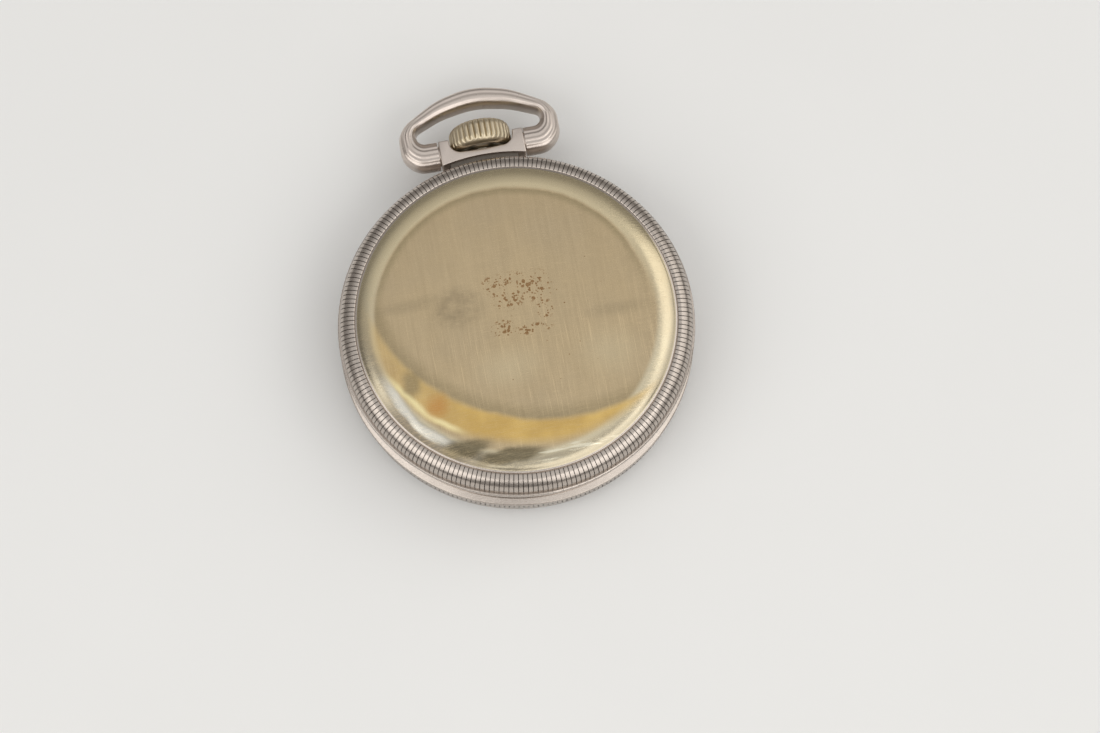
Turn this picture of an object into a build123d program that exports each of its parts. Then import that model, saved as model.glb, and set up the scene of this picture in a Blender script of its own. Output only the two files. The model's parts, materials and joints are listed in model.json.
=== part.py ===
from build123d import *
import math
import os

# Deck watch, lying on its crystal with its back up.
# The origin is where the watch's axis meets the surface it rests on, +Z leaves through the back and
# +Y leaves through the pendant. Lengths are in millimetres and angles in degrees.

overrun = 1.0
running_clearance = 0.05
face_clearance = 0.05
thread_clearance = 0.05
quarter_turn = 90.0

# Teeth: shares of the module and of the pitch
addendum_share = 0.9
dedendum_share = 1.15
tip_share = 0.1
root_share = 0.25
tooth_clearance = 0.04

# Train: teeth, modules and places
barrel_teeth = 80
centre_leaves = 12
centre_teeth = 80
third_leaves = 10
third_teeth = 75
fourth_leaves = 10
fourth_teeth = 80
escape_leaves = 8
barrel_module = 0.21
centre_module = 0.19
third_module = 0.16
fourth_module = 0.13
barrel_bearing = 35.0
seconds_drop = 9.6
escape_bearing = -60.0
escape_teeth = 15
escape_radius = 3.5
lock_ratio_share = 1.155

# Balance
balance_place = (10.4, -8.6)
balance_radius = 6.8
balance_rim_width = 0.8
balance_arm_width = 1.1
balance_arm_thickness = 0.3
timing_screw_radius = 0.34
timing_screw_length = 0.6
timing_screw_count = 14
collet_radius = 0.95
collet_height = 0.4
hairspring_band = 0.08
hairspring_turns = 9
hairspring_end_radius = 4.4
stud_hole_radius = 0.3
regulator_ring_radius = 1.9
regulator_thickness = 0.25
regulator_reach = 6.0
regulator_width = 0.6
regulator_bearing = -110.0
cap_plate_radius = 1.0

# Radii of the plate and the case, each from the one inside it
plate_margin = 0.695
plate_clearance = 0.16
ledge_width = 0.54
back_bore_gap = 0.41
neck_wall = 1.6
band_wall = 1.1
rim_wall = 1.6
lip_width = 0.4
lip_round = 0.18
rim_round = 2.1

plate_radius = math.hypot(*balance_place) + balance_radius + timing_screw_length + plate_margin
ledge_radius = plate_radius - ledge_width
back_bore_radius = plate_radius + back_bore_gap
neck_radius = back_bore_radius + neck_wall
band_radius = neck_radius + band_wall
milled_radius = neck_radius + rim_wall
case_radius = milled_radius + lip_width
crest_radius = milled_radius - rim_round

# Heights of the case, from the crystal's flat front up
crystal_thickness = 1.5
crystal_seat_height = 0.9
front_neck_height = 2.7
flange_thickness = 0.6
band_half_height = 2.1
back_neck_height = 1.9

front_neck_foot = crystal_thickness + crystal_seat_height
front_flange = front_neck_foot + front_neck_height
band_low = front_flange + flange_thickness
stem_height = band_low + band_half_height
band_high = stem_height + band_half_height
back_flange = band_high + flange_thickness
back_neck_top = back_flange + back_neck_height

# Back cover
back_wall = 0.6
back_milled_straight = 0.95
back_crest_rise = 2.8
back_step_width = 0.35
back_step_rise = 0.08
shoulder_width = 2.55
shoulder_rise = 0.84
shoulder_bulge = 0.24
dome_rise = 0.38
gasket_thickness = 0.35

back_crest_height = back_flange + back_crest_rise
back_step_radius = crest_radius - back_step_width
back_step_height = back_crest_height + back_step_rise
back_crease_radius = back_step_radius - shoulder_width
back_crease_height = back_step_height + shoulder_rise
back_top = back_crease_height + dome_rise

# Crystal and bezel
crystal_seat_wall = 1.7
crystal_flat_inset = 2.8
crystal_bevel_inset = 0.8
crystal_edge_height = 0.85
crystal_clearance = 0.04
bezel_lip_height = 0.4
bezel_lip_inset = 0.65
bezel_face_inset = 0.1
bezel_milled_straight = 1.4
bezel_crest_rise = 1.1
bezel_step_width = 0.3
bezel_step_drop = 0.08
bezel_flange_inset = 0.8
bezel_bulge = 0.12

crystal_radius = crest_radius - crystal_seat_wall
crystal_flat_radius = crystal_radius - crystal_flat_inset
crystal_bevel_radius = crystal_radius - crystal_bevel_inset
bezel_lip_radius = crystal_radius - bezel_lip_inset
bezel_face_radius = crystal_radius - bezel_face_inset
bezel_flange_radius = crystal_radius - bezel_flange_inset
bezel_crest_height = bezel_lip_height + bezel_crest_rise
bezel_step_radius = crest_radius - bezel_step_width
bezel_step_height = bezel_crest_height - bezel_step_drop

# Crown
crown_radius = 4.5
crown_height = 4.1
crown_round = 1.15
crown_flutes = 32
crown_flute_depth = 0.28
crown_core_radius = crown_radius - crown_flute_depth

# Pendant, with the cut that the crown turns in and the sleeve that the stem passes
crown_side_gap = 0.18
ear_wall = 1.52
pendant_gap = 1.0
pendant_height = 3.15
pendant_proud = 0.2
pendant_edge_round = 0.35
neck_inset = 1.2
neck_depth_inset = 0.15
socket_floor_rise = 1.0
socket_corner = 1.75
crown_rise = 0.35
sleeve_wall = 0.7
sleeve_stand = 0.25

socket_half_width = crown_radius + crown_side_gap
pendant_half_width = socket_half_width + ear_wall
pendant_half_depth = band_half_height + pendant_proud
pendant_foot_radius = case_radius + pendant_gap
pendant_top = pendant_foot_radius + pendant_height
neck_half_width = pendant_half_width - neck_inset
neck_half_depth = band_half_height - neck_depth_inset
socket_floor = pendant_foot_radius + socket_floor_rise
crown_foot = socket_floor + crown_rise

# Bow: its corners are set in from its half width and rise from its pivots
bow_gap = 0.2
bow_reach = 5.55
bow_depth = 1.9
bow_round = 0.75
bow_side_width = 2.6
knuckle_radius = 2.05
knuckle_inset = 2.05
pivot_rise = 1.65
bow_side_foot = 0.05
bow_side_rise = 3.65
bow_shoulder_inset = 1.15
bow_shoulder_rise = 5.35
bow_arch_inset = 6.25
bow_arch_rise = 8.35
bow_crest_rise = 9.75
bow_hole_side_rise = 4.1
bow_hole_arch_inset = 6.75
bow_hole_arch_rise = 5.85
bow_hole_crest_rise = 6.75
bow_side_round = 3.0
bow_corner_round = 2.5
bow_shoulder_round = 3.5
bow_arch_round = 12.0
bow_hole_foot_round = 1.2
bow_hole_side_round = 1.1
stud_radius = 0.8
stud_length = 1.05

pivot_place = pendant_foot_radius + pivot_rise
bow_half_width = pendant_half_width + bow_reach
bow_inner_half_width = bow_half_width - bow_side_width

# Stem and winding: the crown wheel lies on the stem's line, in mesh with the ratchet wheel
stem_radius = 0.6
stem_thick_radius = 1.0
stem_thick_gap = 0.5
stem_square = 0.9
stem_end = 11.9
groove_gap = 0.6
groove_width = 0.9
crown_wheel_place = (0, 12.6)
crown_wheel_teeth = 28
ratchet_teeth = 54
winding_leaves = 17
winding_pinion_start = 16.12
winding_pinion_end = 17.4
winding_phase_angle = -90.0
pocket_clearance = 0.12
clutch_start = 12.6
clutch_end = 15.4
clutch_radius = 1.35
clutch_groove_depth = 0.4
clutch_groove_share = 0.2
crown_screw_radius = 1.1
crown_screw_head_radius = 2.0
crown_hub_radius = 2.5
crown_floor_thickness = 0.3
ratchet_screw_radius = 2.0
ratchet_screw_height = 0.4

sleeve_radius = stem_thick_radius + sleeve_wall
stem_thick_foot = winding_pinion_end + stem_thick_gap
groove_start = stem_thick_foot + groove_gap

# Click: a pawl beside the ratchet wheel, drawn just out of its teeth
click_bearing = -20.0
click_arm_angle = 80.0
click_width = 0.9
click_thickness = 0.45
click_tip_gap = 0.12
click_length = 2.34
click_spring_gap = 1.44
click_room_width = 2.34
click_spring_room_width = 1.98
click_spring_radius = 0.3

# Keyless work under the dial
keyless_half_width = 2.8
keyless_inner = 11.4
keyless_inset = 0.85
keyless_recess = (-7.6, 6.2)
keyless_recess_inset = 0.65
keyless_lever_thickness = 0.3
lever_pivot = (4.6, 17.4)
yoke_pivot = (-4.6, 17.0)
yoke_tip = (-2.6, 14.0)
yoke_spring_gap = 1.35
yoke_spring_shift = 0.9

# Motion work: the cannon pinion drives the hour wheel by way of the minute wheel
cannon_leaves = 12
minute_teeth = 36
minute_leaves = 10
hour_teeth = 40
setting_teeth = 18
cannon_module = 0.2
cannon_radius = 0.8
hour_tube_radius = 1.2
centre_post_radius = 0.5
minute_post_radius = 0.5

# Plates, bridges and their screws
pivot_radius = 0.12
jewel_radius = 0.75
jewel_thickness = 0.35
jewel_gap = 0.03
arbor_radius = 0.35
centre_hole_radius = 0.7
screw_radius = 0.45
screw_head_radius = 0.95
screw_head_height = 0.45
slot_share = 0.25
slot_depth_share = 0.5
case_screw_inset = 0.75
case_screw_head_radius = 1.15
case_screw_bearings = (30.0, 215.0)
frame_gap = 0.15
foot_width = 2.1
under_dial_inset = 6.0
split_line = -1.95
split_gap = 0.25
balance_well_gap = 0.75
cock_foot_inset = 3.4
cock_foot_drop = 1.0
cock_foot_radius = 2.2
cock_arm_width = 3.6
cock_head_radius = 2.3
pallet_screw_head_height = 0.25
pallet_bridge_half = 3.9
pallet_bridge_width = 1.5
barrel_screw_bearings = (8.0, 62.0, 118.0, 172.0)
train_screw_bearings = (192.0, 262.0)

# Barrel and mainspring
barrel_wall = 0.45
barrel_rim_thickness = 0.5
barrel_cover_thickness = 0.3
barrel_arbor_radius = 1.3
barrel_pivot_radius = 0.9
arbor_core_radius = 2.1
spring_points = 12
spring_band = 0.2
spring_turns = 8
spring_start_radius = 2.6

# Wheels of the train
wheel_thickness = 0.2
leaf_stand = 0.1
crossing_count = 5
rim_width = 0.75
spoke_width = 0.6
hub_radius = 0.95
seat_radius = 0.5

# Escapement
escape_tooth_depth = 0.8
escape_heel_angle = 9.0
escape_lean_angle = 6.0
escape_tip_angle = 2.25
fork_width = 0.6
fork_gap = 0.75
horn_width = 0.25
horn_reach = 0.9
stone_width = 0.35
stone_gap = 0.12
pallet_spread_angle = 30.0
pallet_seat_radius = 0.22
roller_radius = 1.25
roller_jewel_radius = 0.2
roller_jewel_place_radius = 0.85

# Dial and hands
dial_thickness = 0.4
dial_sunk_depth = 0.1
dial_inset = 0.64
dial_hole_radius = 1.45
dial_foot_bearings = (25.0, 155.0, 270.0)
dial_foot_inset = 1.2
dial_foot_radius = 0.36
hand_thickness = 0.18
minute_hand_length = 16.4
hour_hand_length = 11.6
seconds_hand_length = 4.6
hand_width = 1.0
hour_hand_width = 1.3
hand_boss_share = 1.4
hour_bearing = -35.0
minute_bearing = 145.0
seconds_bearing = 60.0

# Heights of the movement over the dial's face
dial_drop = 3.85
dial_face = stem_height - dial_drop
minute_hand_low = dial_face - 1.25
hour_hand_low = dial_face - 0.8
seconds_arbor_foot = dial_face - 0.6
seconds_hand_low = dial_face - 0.5
hour_wheel_low = dial_face + 0.47
keyless_low = dial_face + 0.55
hour_wheel_high = dial_face + 0.75
minute_wheel_low = dial_face + 0.9
minute_wheel_high = dial_face + 1.15
cannon_top = dial_face + 1.27
plate_floor_low = dial_face + 1.35
ledge_low = dial_face + 1.55
plate_floor_high = dial_face + 2.45
centre_leaf_low = dial_face + 2.55
barrel_low = dial_face + 2.65
escape_wheel_low = dial_face + 3.35
fork_low = dial_face + 3.4
centre_leaf_high = dial_face + 3.55
fork_high = dial_face + 3.65
third_wheel_low = dial_face + 3.65
pallet_bridge_low = dial_face + 3.75
pallet_bridge_high = dial_face + 3.95
fourth_wheel_low = dial_face + 4.3
roller_low = dial_face + 4.3
roller_high = dial_face + 4.55
ledge_high = dial_face + 4.65
barrel_high = dial_face + 4.75
centre_wheel_low = dial_face + 4.9
bridge_low = dial_face + 5.3
balance_low = dial_face + 5.4
crown_teeth_low = dial_face + 5.7
collet_low = dial_face + 5.8
hairspring_low = dial_face + 6.05
balance_high = dial_face + 6.15
crown_hub_top = dial_face + 6.3
hairspring_high = dial_face + 6.3
ratchet_low = dial_face + 6.35
cock_low = dial_face + 6.55
ratchet_high = dial_face + 7.05
bridge_high = dial_face + 7.25
cock_high = dial_face + 7.45
crown_floor = bridge_low
lower_pivot_foot = plate_floor_high - jewel_thickness + running_clearance
upper_pivot_top = bridge_low + jewel_thickness

# Radii inside the case that follow the plate and the ledge
frame_radius = ledge_radius - frame_gap
foot_radius = frame_radius - foot_width
under_dial_radius = plate_radius - under_dial_inset
keyless_outer = ledge_radius - keyless_inset
keyless_recess_radius = ledge_radius - keyless_recess_inset
case_screw_place_radius = ledge_radius - case_screw_inset
dial_radius = plate_radius - dial_inset
dial_foot_place_radius = foot_radius - dial_foot_inset
balance_well_radius = balance_radius + timing_screw_length + balance_well_gap
cock_foot_place = (frame_radius - cock_foot_inset, -cock_foot_drop)


def away(start, distance, bearing):
    """The point that lies a distance from a start, along a bearing from +X."""
    turn = math.radians(bearing)
    return (start[0] + distance * math.cos(turn), start[1] + distance * math.sin(turn))


def bearing_of(start, end):
    """The bearing from one point to another."""
    return math.degrees(math.atan2(end[1] - start[1], end[0] - start[0]))


def reach(teeth, other_teeth, module):
    """The distance between the centres of two meshed wheels."""
    return (teeth + other_teeth) * module / 2


def tip_radius(teeth, module):
    """The radius at the tips of a wheel's teeth."""
    return (teeth / 2 + addendum_share) * module


def root_radius(teeth, module):
    """The radius at the roots of a wheel's teeth."""
    return (teeth / 2 - dedendum_share) * module


def placed_around(radius, bearings):
    """Points on a circle about the watch's axis."""
    return [away(centre_place, radius, bearing) for bearing in bearings]


# Places of the arbors
centre_place = (0, 0)
barrel_place = away(centre_place, reach(barrel_teeth, centre_leaves, barrel_module), barrel_bearing)
fourth_place = (0, -seconds_drop)
third_reach = reach(centre_teeth, third_leaves, centre_module)
third_fourth_reach = reach(third_teeth, fourth_leaves, third_module)
third_y = -(third_reach**2 - third_fourth_reach**2 + seconds_drop**2) / (2 * seconds_drop)
third_place = (-math.sqrt(third_reach**2 - third_y**2), third_y)
escape_place = away(fourth_place, reach(fourth_teeth, escape_leaves, fourth_module), escape_bearing)
lever_bearing = bearing_of(escape_place, balance_place)
pallet_place = away(escape_place, escape_radius * lock_ratio_share, lever_bearing)
winding_module = 2 * math.dist(crown_wheel_place, barrel_place) / (crown_wheel_teeth + ratchet_teeth)
minute_place = (0, reach(cannon_leaves, minute_teeth, cannon_module))
minute_module = 2 * minute_place[1] / (minute_leaves + hour_teeth)
setting_place = (0, minute_place[1] + reach(minute_teeth, setting_teeth, cannon_module))
stud_place = away(balance_place, hairspring_end_radius, bearing_of(balance_place, cock_foot_place))
upper_pivots = [third_place, fourth_place, escape_place]

# Places of the screws and the dial's feet
screw_place_radius = (foot_radius + frame_radius) / 2
barrel_screws = placed_around(screw_place_radius, barrel_screw_bearings)
train_screws = placed_around(screw_place_radius, train_screw_bearings)
case_screw_places = placed_around(case_screw_place_radius, case_screw_bearings)
dial_foot_places = placed_around(dial_foot_place_radius, dial_foot_bearings)
pallet_screws = [
    away(pallet_place, pallet_bridge_half, lever_bearing + side * quarter_turn) for side in (-1, 1)
]

# Radii and places that follow the teeth
crown_tip = tip_radius(crown_wheel_teeth, winding_module)
ratchet_tip = tip_radius(ratchet_teeth, winding_module)
barrel_drum_radius = root_radius(barrel_teeth, barrel_module) - tooth_clearance
barrel_inner_radius = barrel_drum_radius - barrel_wall
lever_length = math.dist(pallet_place, balance_place) - roller_radius - horn_reach / 2
click_tip = away(barrel_place, ratchet_tip + click_tip_gap + click_width / 2, click_bearing)
click_pivot = away(click_tip, click_length, click_bearing + click_arm_angle)
click_spring_start = away(click_pivot, click_spring_gap, click_bearing + click_arm_angle)


def disc(radius, low, high, at=(0, 0)):
    """An upright round solid between two heights."""
    base = (Align.CENTER, Align.CENTER, Align.MIN)
    return Pos(at[0], at[1], low) * Cylinder(radius, high - low, align=base)


def ring(outer, inner, low, high, at=(0, 0)):
    """An upright tube between two heights."""
    return disc(outer, low, high, at) - disc(inner, low - overrun, high + overrun, at)


def block(x_range, y_range, z_range):
    """A box between three pairs of limits."""
    size = [high - low for low, high in (x_range, y_range, z_range)]
    corner = (Align.MIN, Align.MIN, Align.MIN)
    return Pos(x_range[0], y_range[0], z_range[0]) * Box(*size, align=corner)


def rod(radius, start, end):
    """A round solid along Y."""
    return Pos(0, start, stem_height) * Rot(-quarter_turn, 0, 0) * disc(radius, 0, end - start)


def turned(points):
    """A solid turned about the watch's axis, from points of radius and height."""
    outline = Polyline([(radius, 0, height) for radius, height in points], close=True)
    return revolve(make_face(outline), Axis.Z)


def plate_of(points, low, high):
    """A flat plate of straight edges between two heights."""
    outline = Polyline([(x, y, low) for x, y in points], close=True)
    return extrude(make_face(outline), high - low, dir=(0, 0, 1))


def arm(start, end, width, low, high):
    """A straight flat arm with round ends."""
    turn = bearing_of(start, end)
    length = math.dist(start, end)
    bar = block((0, length), (-width / 2, width / 2), (low, high))
    placed = Pos(start[0], start[1], 0) * Rot(0, 0, turn) * bar
    return placed + disc(width / 2, low, high, start) + disc(width / 2, low, high, end)


def toothed(teeth, module, low, high, at, phase=0.0):
    """A toothed disc whose first tooth points along the phase angle."""
    pitch = 360 / teeth
    root, tip = root_radius(teeth, module), tip_radius(teeth, module)
    corners = ((root, -root_share), (tip, -tip_share), (tip, tip_share), (root, root_share))
    points = []
    for index in range(teeth):
        middle = phase + index * pitch
        for radius, side_share in corners:
            points.append(away(at, radius, middle + side_share * pitch))
    return plate_of(points, low, high)


def mesh_phase(phase, teeth, at, other_teeth, other_at):
    """The phase that puts another wheel's gap on this wheel's tooth."""
    line = bearing_of(at, other_at)
    offset = (phase - line) * teeth / 360
    return line + 180 + (0.5 - offset) * 360 / other_teeth


# Phases of the teeth, each wheel set to the one that it follows
centre_phase = 0.0
third_leaf_phase = mesh_phase(centre_phase, centre_teeth, centre_place, third_leaves, third_place)
third_phase = 0.0
fourth_leaf_phase = mesh_phase(third_phase, third_teeth, third_place, fourth_leaves, fourth_place)
fourth_phase = 0.0
escape_leaf_phase = mesh_phase(fourth_phase, fourth_teeth, fourth_place, escape_leaves, escape_place)
centre_leaf_phase = 0.0
barrel_phase = mesh_phase(centre_leaf_phase, centre_leaves, centre_place, barrel_teeth, barrel_place)
cannon_phase = quarter_turn
minute_phase = mesh_phase(cannon_phase, cannon_leaves, centre_place, minute_teeth, minute_place)
minute_leaf_phase = 0.0
hour_phase = mesh_phase(minute_leaf_phase, minute_leaves, minute_place, hour_teeth, centre_place)
setting_phase = mesh_phase(minute_phase, minute_teeth, minute_place, setting_teeth, setting_place)
crown_phase = quarter_turn + 180 / crown_wheel_teeth
ratchet_phase = mesh_phase(
    crown_phase, crown_wheel_teeth, crown_wheel_place, ratchet_teeth, barrel_place
)


# Case


def across(points):
    """Points of radius and height, in the plane that a turned solid is drawn in."""
    return [(radius, 0, height) for radius, height in points]


def chain(*points):
    """Straight edges through points of radius and height."""
    return Polyline(*across(points))


def bulged(start, end, bulge):
    """An arc between two points of radius and height that stands out by its bulge."""
    length = math.dist(start, end)
    out = ((end[1] - start[1]) / length, (start[0] - end[0]) / length)
    middle = [(start[i] + end[i]) / 2 + out[i] * bulge for i in (0, 1)]
    return ThreePointArc(*across([start, middle, end]))


def domed(edge, top):
    """An arc from an edge to the top of a dome, centred on the axis."""
    rise = top[1] - edge[1]
    radius = (edge[0] ** 2 + rise**2) / (2 * rise)
    half_turn = math.asin(edge[0] / radius) / 2
    middle = (radius * math.sin(half_turn), top[1] - radius * (1 - math.cos(half_turn)))
    return ThreePointArc(*across([edge, middle, top]))


def milled_rim(side_height, straight, crest_height):
    """The milled rim: a straight side, then a quarter round in to its crest."""
    rise = crest_height - side_height
    start = side_height + math.copysign(straight, rise)
    turn = math.radians(quarter_turn / 2)
    middle = (
        crest_radius + (milled_radius - crest_radius) * math.cos(turn),
        start + (crest_height - start) * math.sin(turn),
    )
    side = chain((milled_radius, side_height), (milled_radius, start))
    round_over = ThreePointArc(*across([(milled_radius, start), middle, (crest_radius, crest_height)]))
    return [side, round_over]


def spun(edges):
    """A solid turned about the watch's axis from a closed chain of edges."""
    return revolve(make_face(edges), Axis.Z)


def back_cover():
    seat = back_flange + face_clearance
    cavity_top = back_neck_top + gasket_thickness + face_clearance
    thread_radius = neck_radius + thread_clearance
    inner_shoulder = (back_step_radius - back_wall, cavity_top)
    step = (back_step_radius, back_step_height)
    crease = (back_crease_radius, back_crease_height)
    inner_crease = (back_crease_radius, back_crease_height - back_wall)
    inner_top = (0, back_top - back_wall)
    return spun(
        milled_rim(seat, back_milled_straight, back_crest_height)
        + [
            chain((crest_radius, back_crest_height), step),
            bulged(step, crease, shoulder_bulge),
            domed(crease, (0, back_top)),
            chain((0, back_top), inner_top),
            domed(inner_crease, inner_top),
            chain(
                inner_crease,
                inner_shoulder,
                (thread_radius, cavity_top),
                (thread_radius, seat),
                (milled_radius, seat),
            ),
        ]
    )


def back_gasket():
    low = back_neck_top + face_clearance / 2
    outer, inner = neck_radius - face_clearance, back_bore_radius + plate_clearance
    return ring(outer, inner, low, low + gasket_thickness)


def case_middle():
    inner = plate_radius + plate_clearance
    body = turned(
        [
            (inner, front_neck_foot),
            (neck_radius, front_neck_foot),
            (neck_radius, front_flange),
            (case_radius, front_flange),
            (case_radius, band_low),
            (band_radius, band_low + flange_thickness / 2),
            (band_radius, band_high - flange_thickness / 2),
            (case_radius, band_high),
            (case_radius, back_flange),
            (neck_radius, back_flange),
            (neck_radius, back_neck_top),
            (back_bore_radius, back_neck_top),
            (back_bore_radius, ledge_high),
            (ledge_radius, ledge_high),
            (ledge_radius, ledge_low),
            (inner, ledge_low),
        ]
    )
    rounds = body.edges().filter_by(GeomType.CIRCLE)
    body = fillet(rounds.filter_by(lambda edge: edge.radius > milled_radius), lip_round)
    return body - rod(sleeve_radius, ledge_radius - overrun, case_radius + overrun)


def bezel():
    seat = front_flange - face_clearance
    cavity = front_neck_foot - face_clearance
    thread_radius = neck_radius + thread_clearance
    groove_radius = crystal_radius + crystal_clearance
    groove_high = crystal_thickness + crystal_clearance
    groove_low = crystal_edge_height - crystal_clearance
    step = (bezel_step_radius, bezel_step_height)
    lip = (bezel_face_radius, bezel_lip_height)
    return spun(
        milled_rim(seat, bezel_milled_straight, bezel_crest_height)
        + [
            chain((crest_radius, bezel_crest_height), step),
            bulged(step, lip, -bezel_bulge),
            chain(
                lip,
                (bezel_lip_radius, bezel_lip_height),
                (bezel_lip_radius, groove_low),
                (groove_radius, groove_low),
                (groove_radius, groove_high),
                (bezel_flange_radius, groove_high),
                (bezel_flange_radius, cavity),
                (thread_radius, cavity),
                (thread_radius, seat),
                (milled_radius, seat),
            ),
        ]
    )


def crystal():
    return turned(
        [
            (0, 0),
            (crystal_flat_radius, 0),
            (crystal_bevel_radius, crystal_edge_height),
            (crystal_radius, crystal_edge_height),
            (crystal_radius, crystal_thickness),
            (0, crystal_thickness),
        ]
    )


def pendant():
    low = stem_height - pendant_half_depth
    high = stem_height + pendant_half_depth
    body = block((-pendant_half_width, pendant_half_width), (0, pendant_top), (low, high))
    body = fillet(body.edges().group_by(Axis.Y)[-1], pendant_edge_round)
    body -= disc(pendant_foot_radius, low - overrun, high + overrun)
    neck = block(
        (-neck_half_width, neck_half_width),
        (0, (pendant_foot_radius + socket_floor) / 2),
        (stem_height - neck_half_depth, stem_height + neck_half_depth),
    )
    body += neck - disc(band_radius, low, high)
    body -= disc(case_radius + face_clearance, 0, band_low + flange_thickness / 2)
    body -= disc(case_radius + face_clearance, band_high - flange_thickness / 2, back_top)
    socket = block(
        (-socket_half_width, socket_half_width),
        (socket_floor, pendant_top + overrun),
        (low - overrun, high + overrun),
    )
    socket = fillet(socket.edges().filter_by(Axis.Z).group_by(Axis.Y)[0], socket_corner)
    body -= socket
    body -= rod(sleeve_radius, 0, pendant_top)
    reach_in = stud_length + 2 * running_clearance
    for side in (-1, 1):
        stud = Rot(0, quarter_turn, 0) * disc(stud_radius + running_clearance, -reach_in, reach_in)
        body -= Pos(side * pendant_half_width, pivot_place, stem_height) * stud
    return body


def pendant_sleeve():
    start = ledge_radius + plate_clearance
    tube = rod(sleeve_radius, start, socket_floor + sleeve_stand)
    return tube - rod(stem_thick_radius + running_clearance, 0, pendant_top)


def crown():
    with BuildPart() as head:
        with BuildSketch(Plane.XY):
            Circle(crown_core_radius)
            with PolarLocations(crown_core_radius, crown_flutes):
                Circle(crown_radius - crown_core_radius)
        extrude(amount=crown_height)
    knob = head.part
    envelope = disc(crown_radius, 0, crown_height)
    envelope = fillet(envelope.edges().filter_by(GeomType.CIRCLE), crown_round)
    bore = disc(stem_thick_radius, -overrun, crown_height / 2)
    knob = knob & envelope
    return Pos(0, crown_foot, stem_height) * Rot(-quarter_turn, 0, 0) * (knob - bore)


def winding_stem():
    thick = rod(stem_thick_radius, stem_thick_foot, crown_foot + crown_height / 2)
    slim = rod(stem_radius, clutch_end + running_clearance, stem_thick_foot)
    half = stem_square / 2
    square = block(
        (-half, half),
        (stem_end, clutch_end + 2 * running_clearance),
        (stem_height - half, stem_height + half),
    )
    groove = rod(stem_thick_radius, groove_start, groove_start + groove_width)
    groove -= rod(stem_radius - running_clearance, groove_start - overrun, groove_start + 2 * groove_width)
    return thick + slim + square - groove


def bow_corners():
    """The corners of the bow's outline with their rounds, from its right end round to its right end."""
    face = pendant_half_width + bow_gap
    low, high = pivot_place - knuckle_radius, pivot_place + knuckle_radius
    outer = [
        ((bow_half_width - knuckle_inset, low), bow_side_round),
        ((bow_half_width, pivot_place + bow_side_foot), bow_side_round),
        ((bow_half_width, pivot_place + bow_side_rise), bow_corner_round),
        ((bow_half_width - bow_shoulder_inset, pivot_place + bow_shoulder_rise), bow_shoulder_round),
        ((bow_half_width - bow_arch_inset, pivot_place + bow_arch_rise), bow_arch_round),
    ]
    inner = [
        ((bow_inner_half_width, high), bow_hole_foot_round),
        ((bow_inner_half_width, pivot_place + bow_hole_side_rise), bow_hole_side_round),
        ((bow_half_width - bow_hole_arch_inset, pivot_place + bow_hole_arch_rise), bow_arch_round),
    ]
    right = [((face, low), 0)] + outer
    left = mirrored(reversed(right))
    inside = mirrored([((face, high), 0)] + inner)
    inside_right = list(reversed(inner)) + [((face, high), 0)]
    crest = [((0, pivot_place + bow_crest_rise), bow_arch_round)]
    inner_crest = [((0, pivot_place + bow_hole_crest_rise), bow_arch_round)]
    return right + crest + left + inside + inner_crest + inside_right


def mirrored(corners):
    """The same corners on the other side of the watch's middle."""
    return [((-x, y), size) for (x, y), size in corners]


def bow():
    face = pendant_half_width + bow_gap
    corners = bow_corners()
    outline = make_face(Polyline(*[point for point, size in corners], close=True))
    for point, size in corners:
        if size:
            corner = min(outline.vertices(), key=lambda place: math.dist((place.X, place.Y), point))
            outline = fillet(corner, size)
    body = extrude(outline, 2 * bow_depth)
    edges = body.edges()
    ends = edges.filter_by_position(Axis.X, -face, -face) + edges.filter_by_position(Axis.X, face, face)
    flat = edges.group_by(Axis.Z)[0] + edges.group_by(Axis.Z)[-1]
    body = fillet([edge for edge in flat if edge not in ends], bow_round)
    body = Pos(0, 0, stem_height - bow_depth) * body
    for side in (-1, 1):
        stud = Rot(0, quarter_turn, 0) * disc(stud_radius, -stud_length, stud_length)
        body += Pos(side * face, pivot_place, stem_height) * stud
    return body


# Frame of the movement


def keyless_room(low, high):
    """The room that the stem's wheels turn in."""
    return block((-keyless_half_width, keyless_half_width), (keyless_inner, keyless_outer), (low, high))


def pillar_plate():
    body = disc(plate_radius, dial_face + dial_thickness, ledge_low - face_clearance)
    body += disc(ledge_radius - plate_clearance, dial_face + dial_thickness, plate_floor_high)
    body -= disc(under_dial_radius, 0, plate_floor_low)
    recess = block(keyless_recess, (keyless_inner, keyless_outer), (0, plate_floor_low))
    body -= recess & disc(keyless_recess_radius, 0, plate_floor_low)
    body -= keyless_room(0, bridge_high)
    for place in upper_pivots + [balance_place, pallet_place]:
        body -= disc(jewel_radius, 0, bridge_high, place)
    body -= disc(centre_hole_radius, 0, bridge_high, centre_place)
    body -= disc(barrel_pivot_radius + running_clearance, 0, bridge_high, barrel_place)
    screws = barrel_screws + train_screws + pallet_screws + case_screw_places + dial_foot_places
    for place in screws + [cock_foot_place]:
        body -= disc(screw_radius, 0, bridge_high, place)
    for place in (minute_place, setting_place):
        body -= disc(minute_post_radius, 0, bridge_high, place)
    body -= stem_slot()
    return body


def stem_slot():
    """The way that the stem takes in to the keyless room."""
    half = stem_thick_radius + plate_clearance
    return block((-half, half), (keyless_inner, case_radius), (stem_height - half, stem_height + half))


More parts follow.
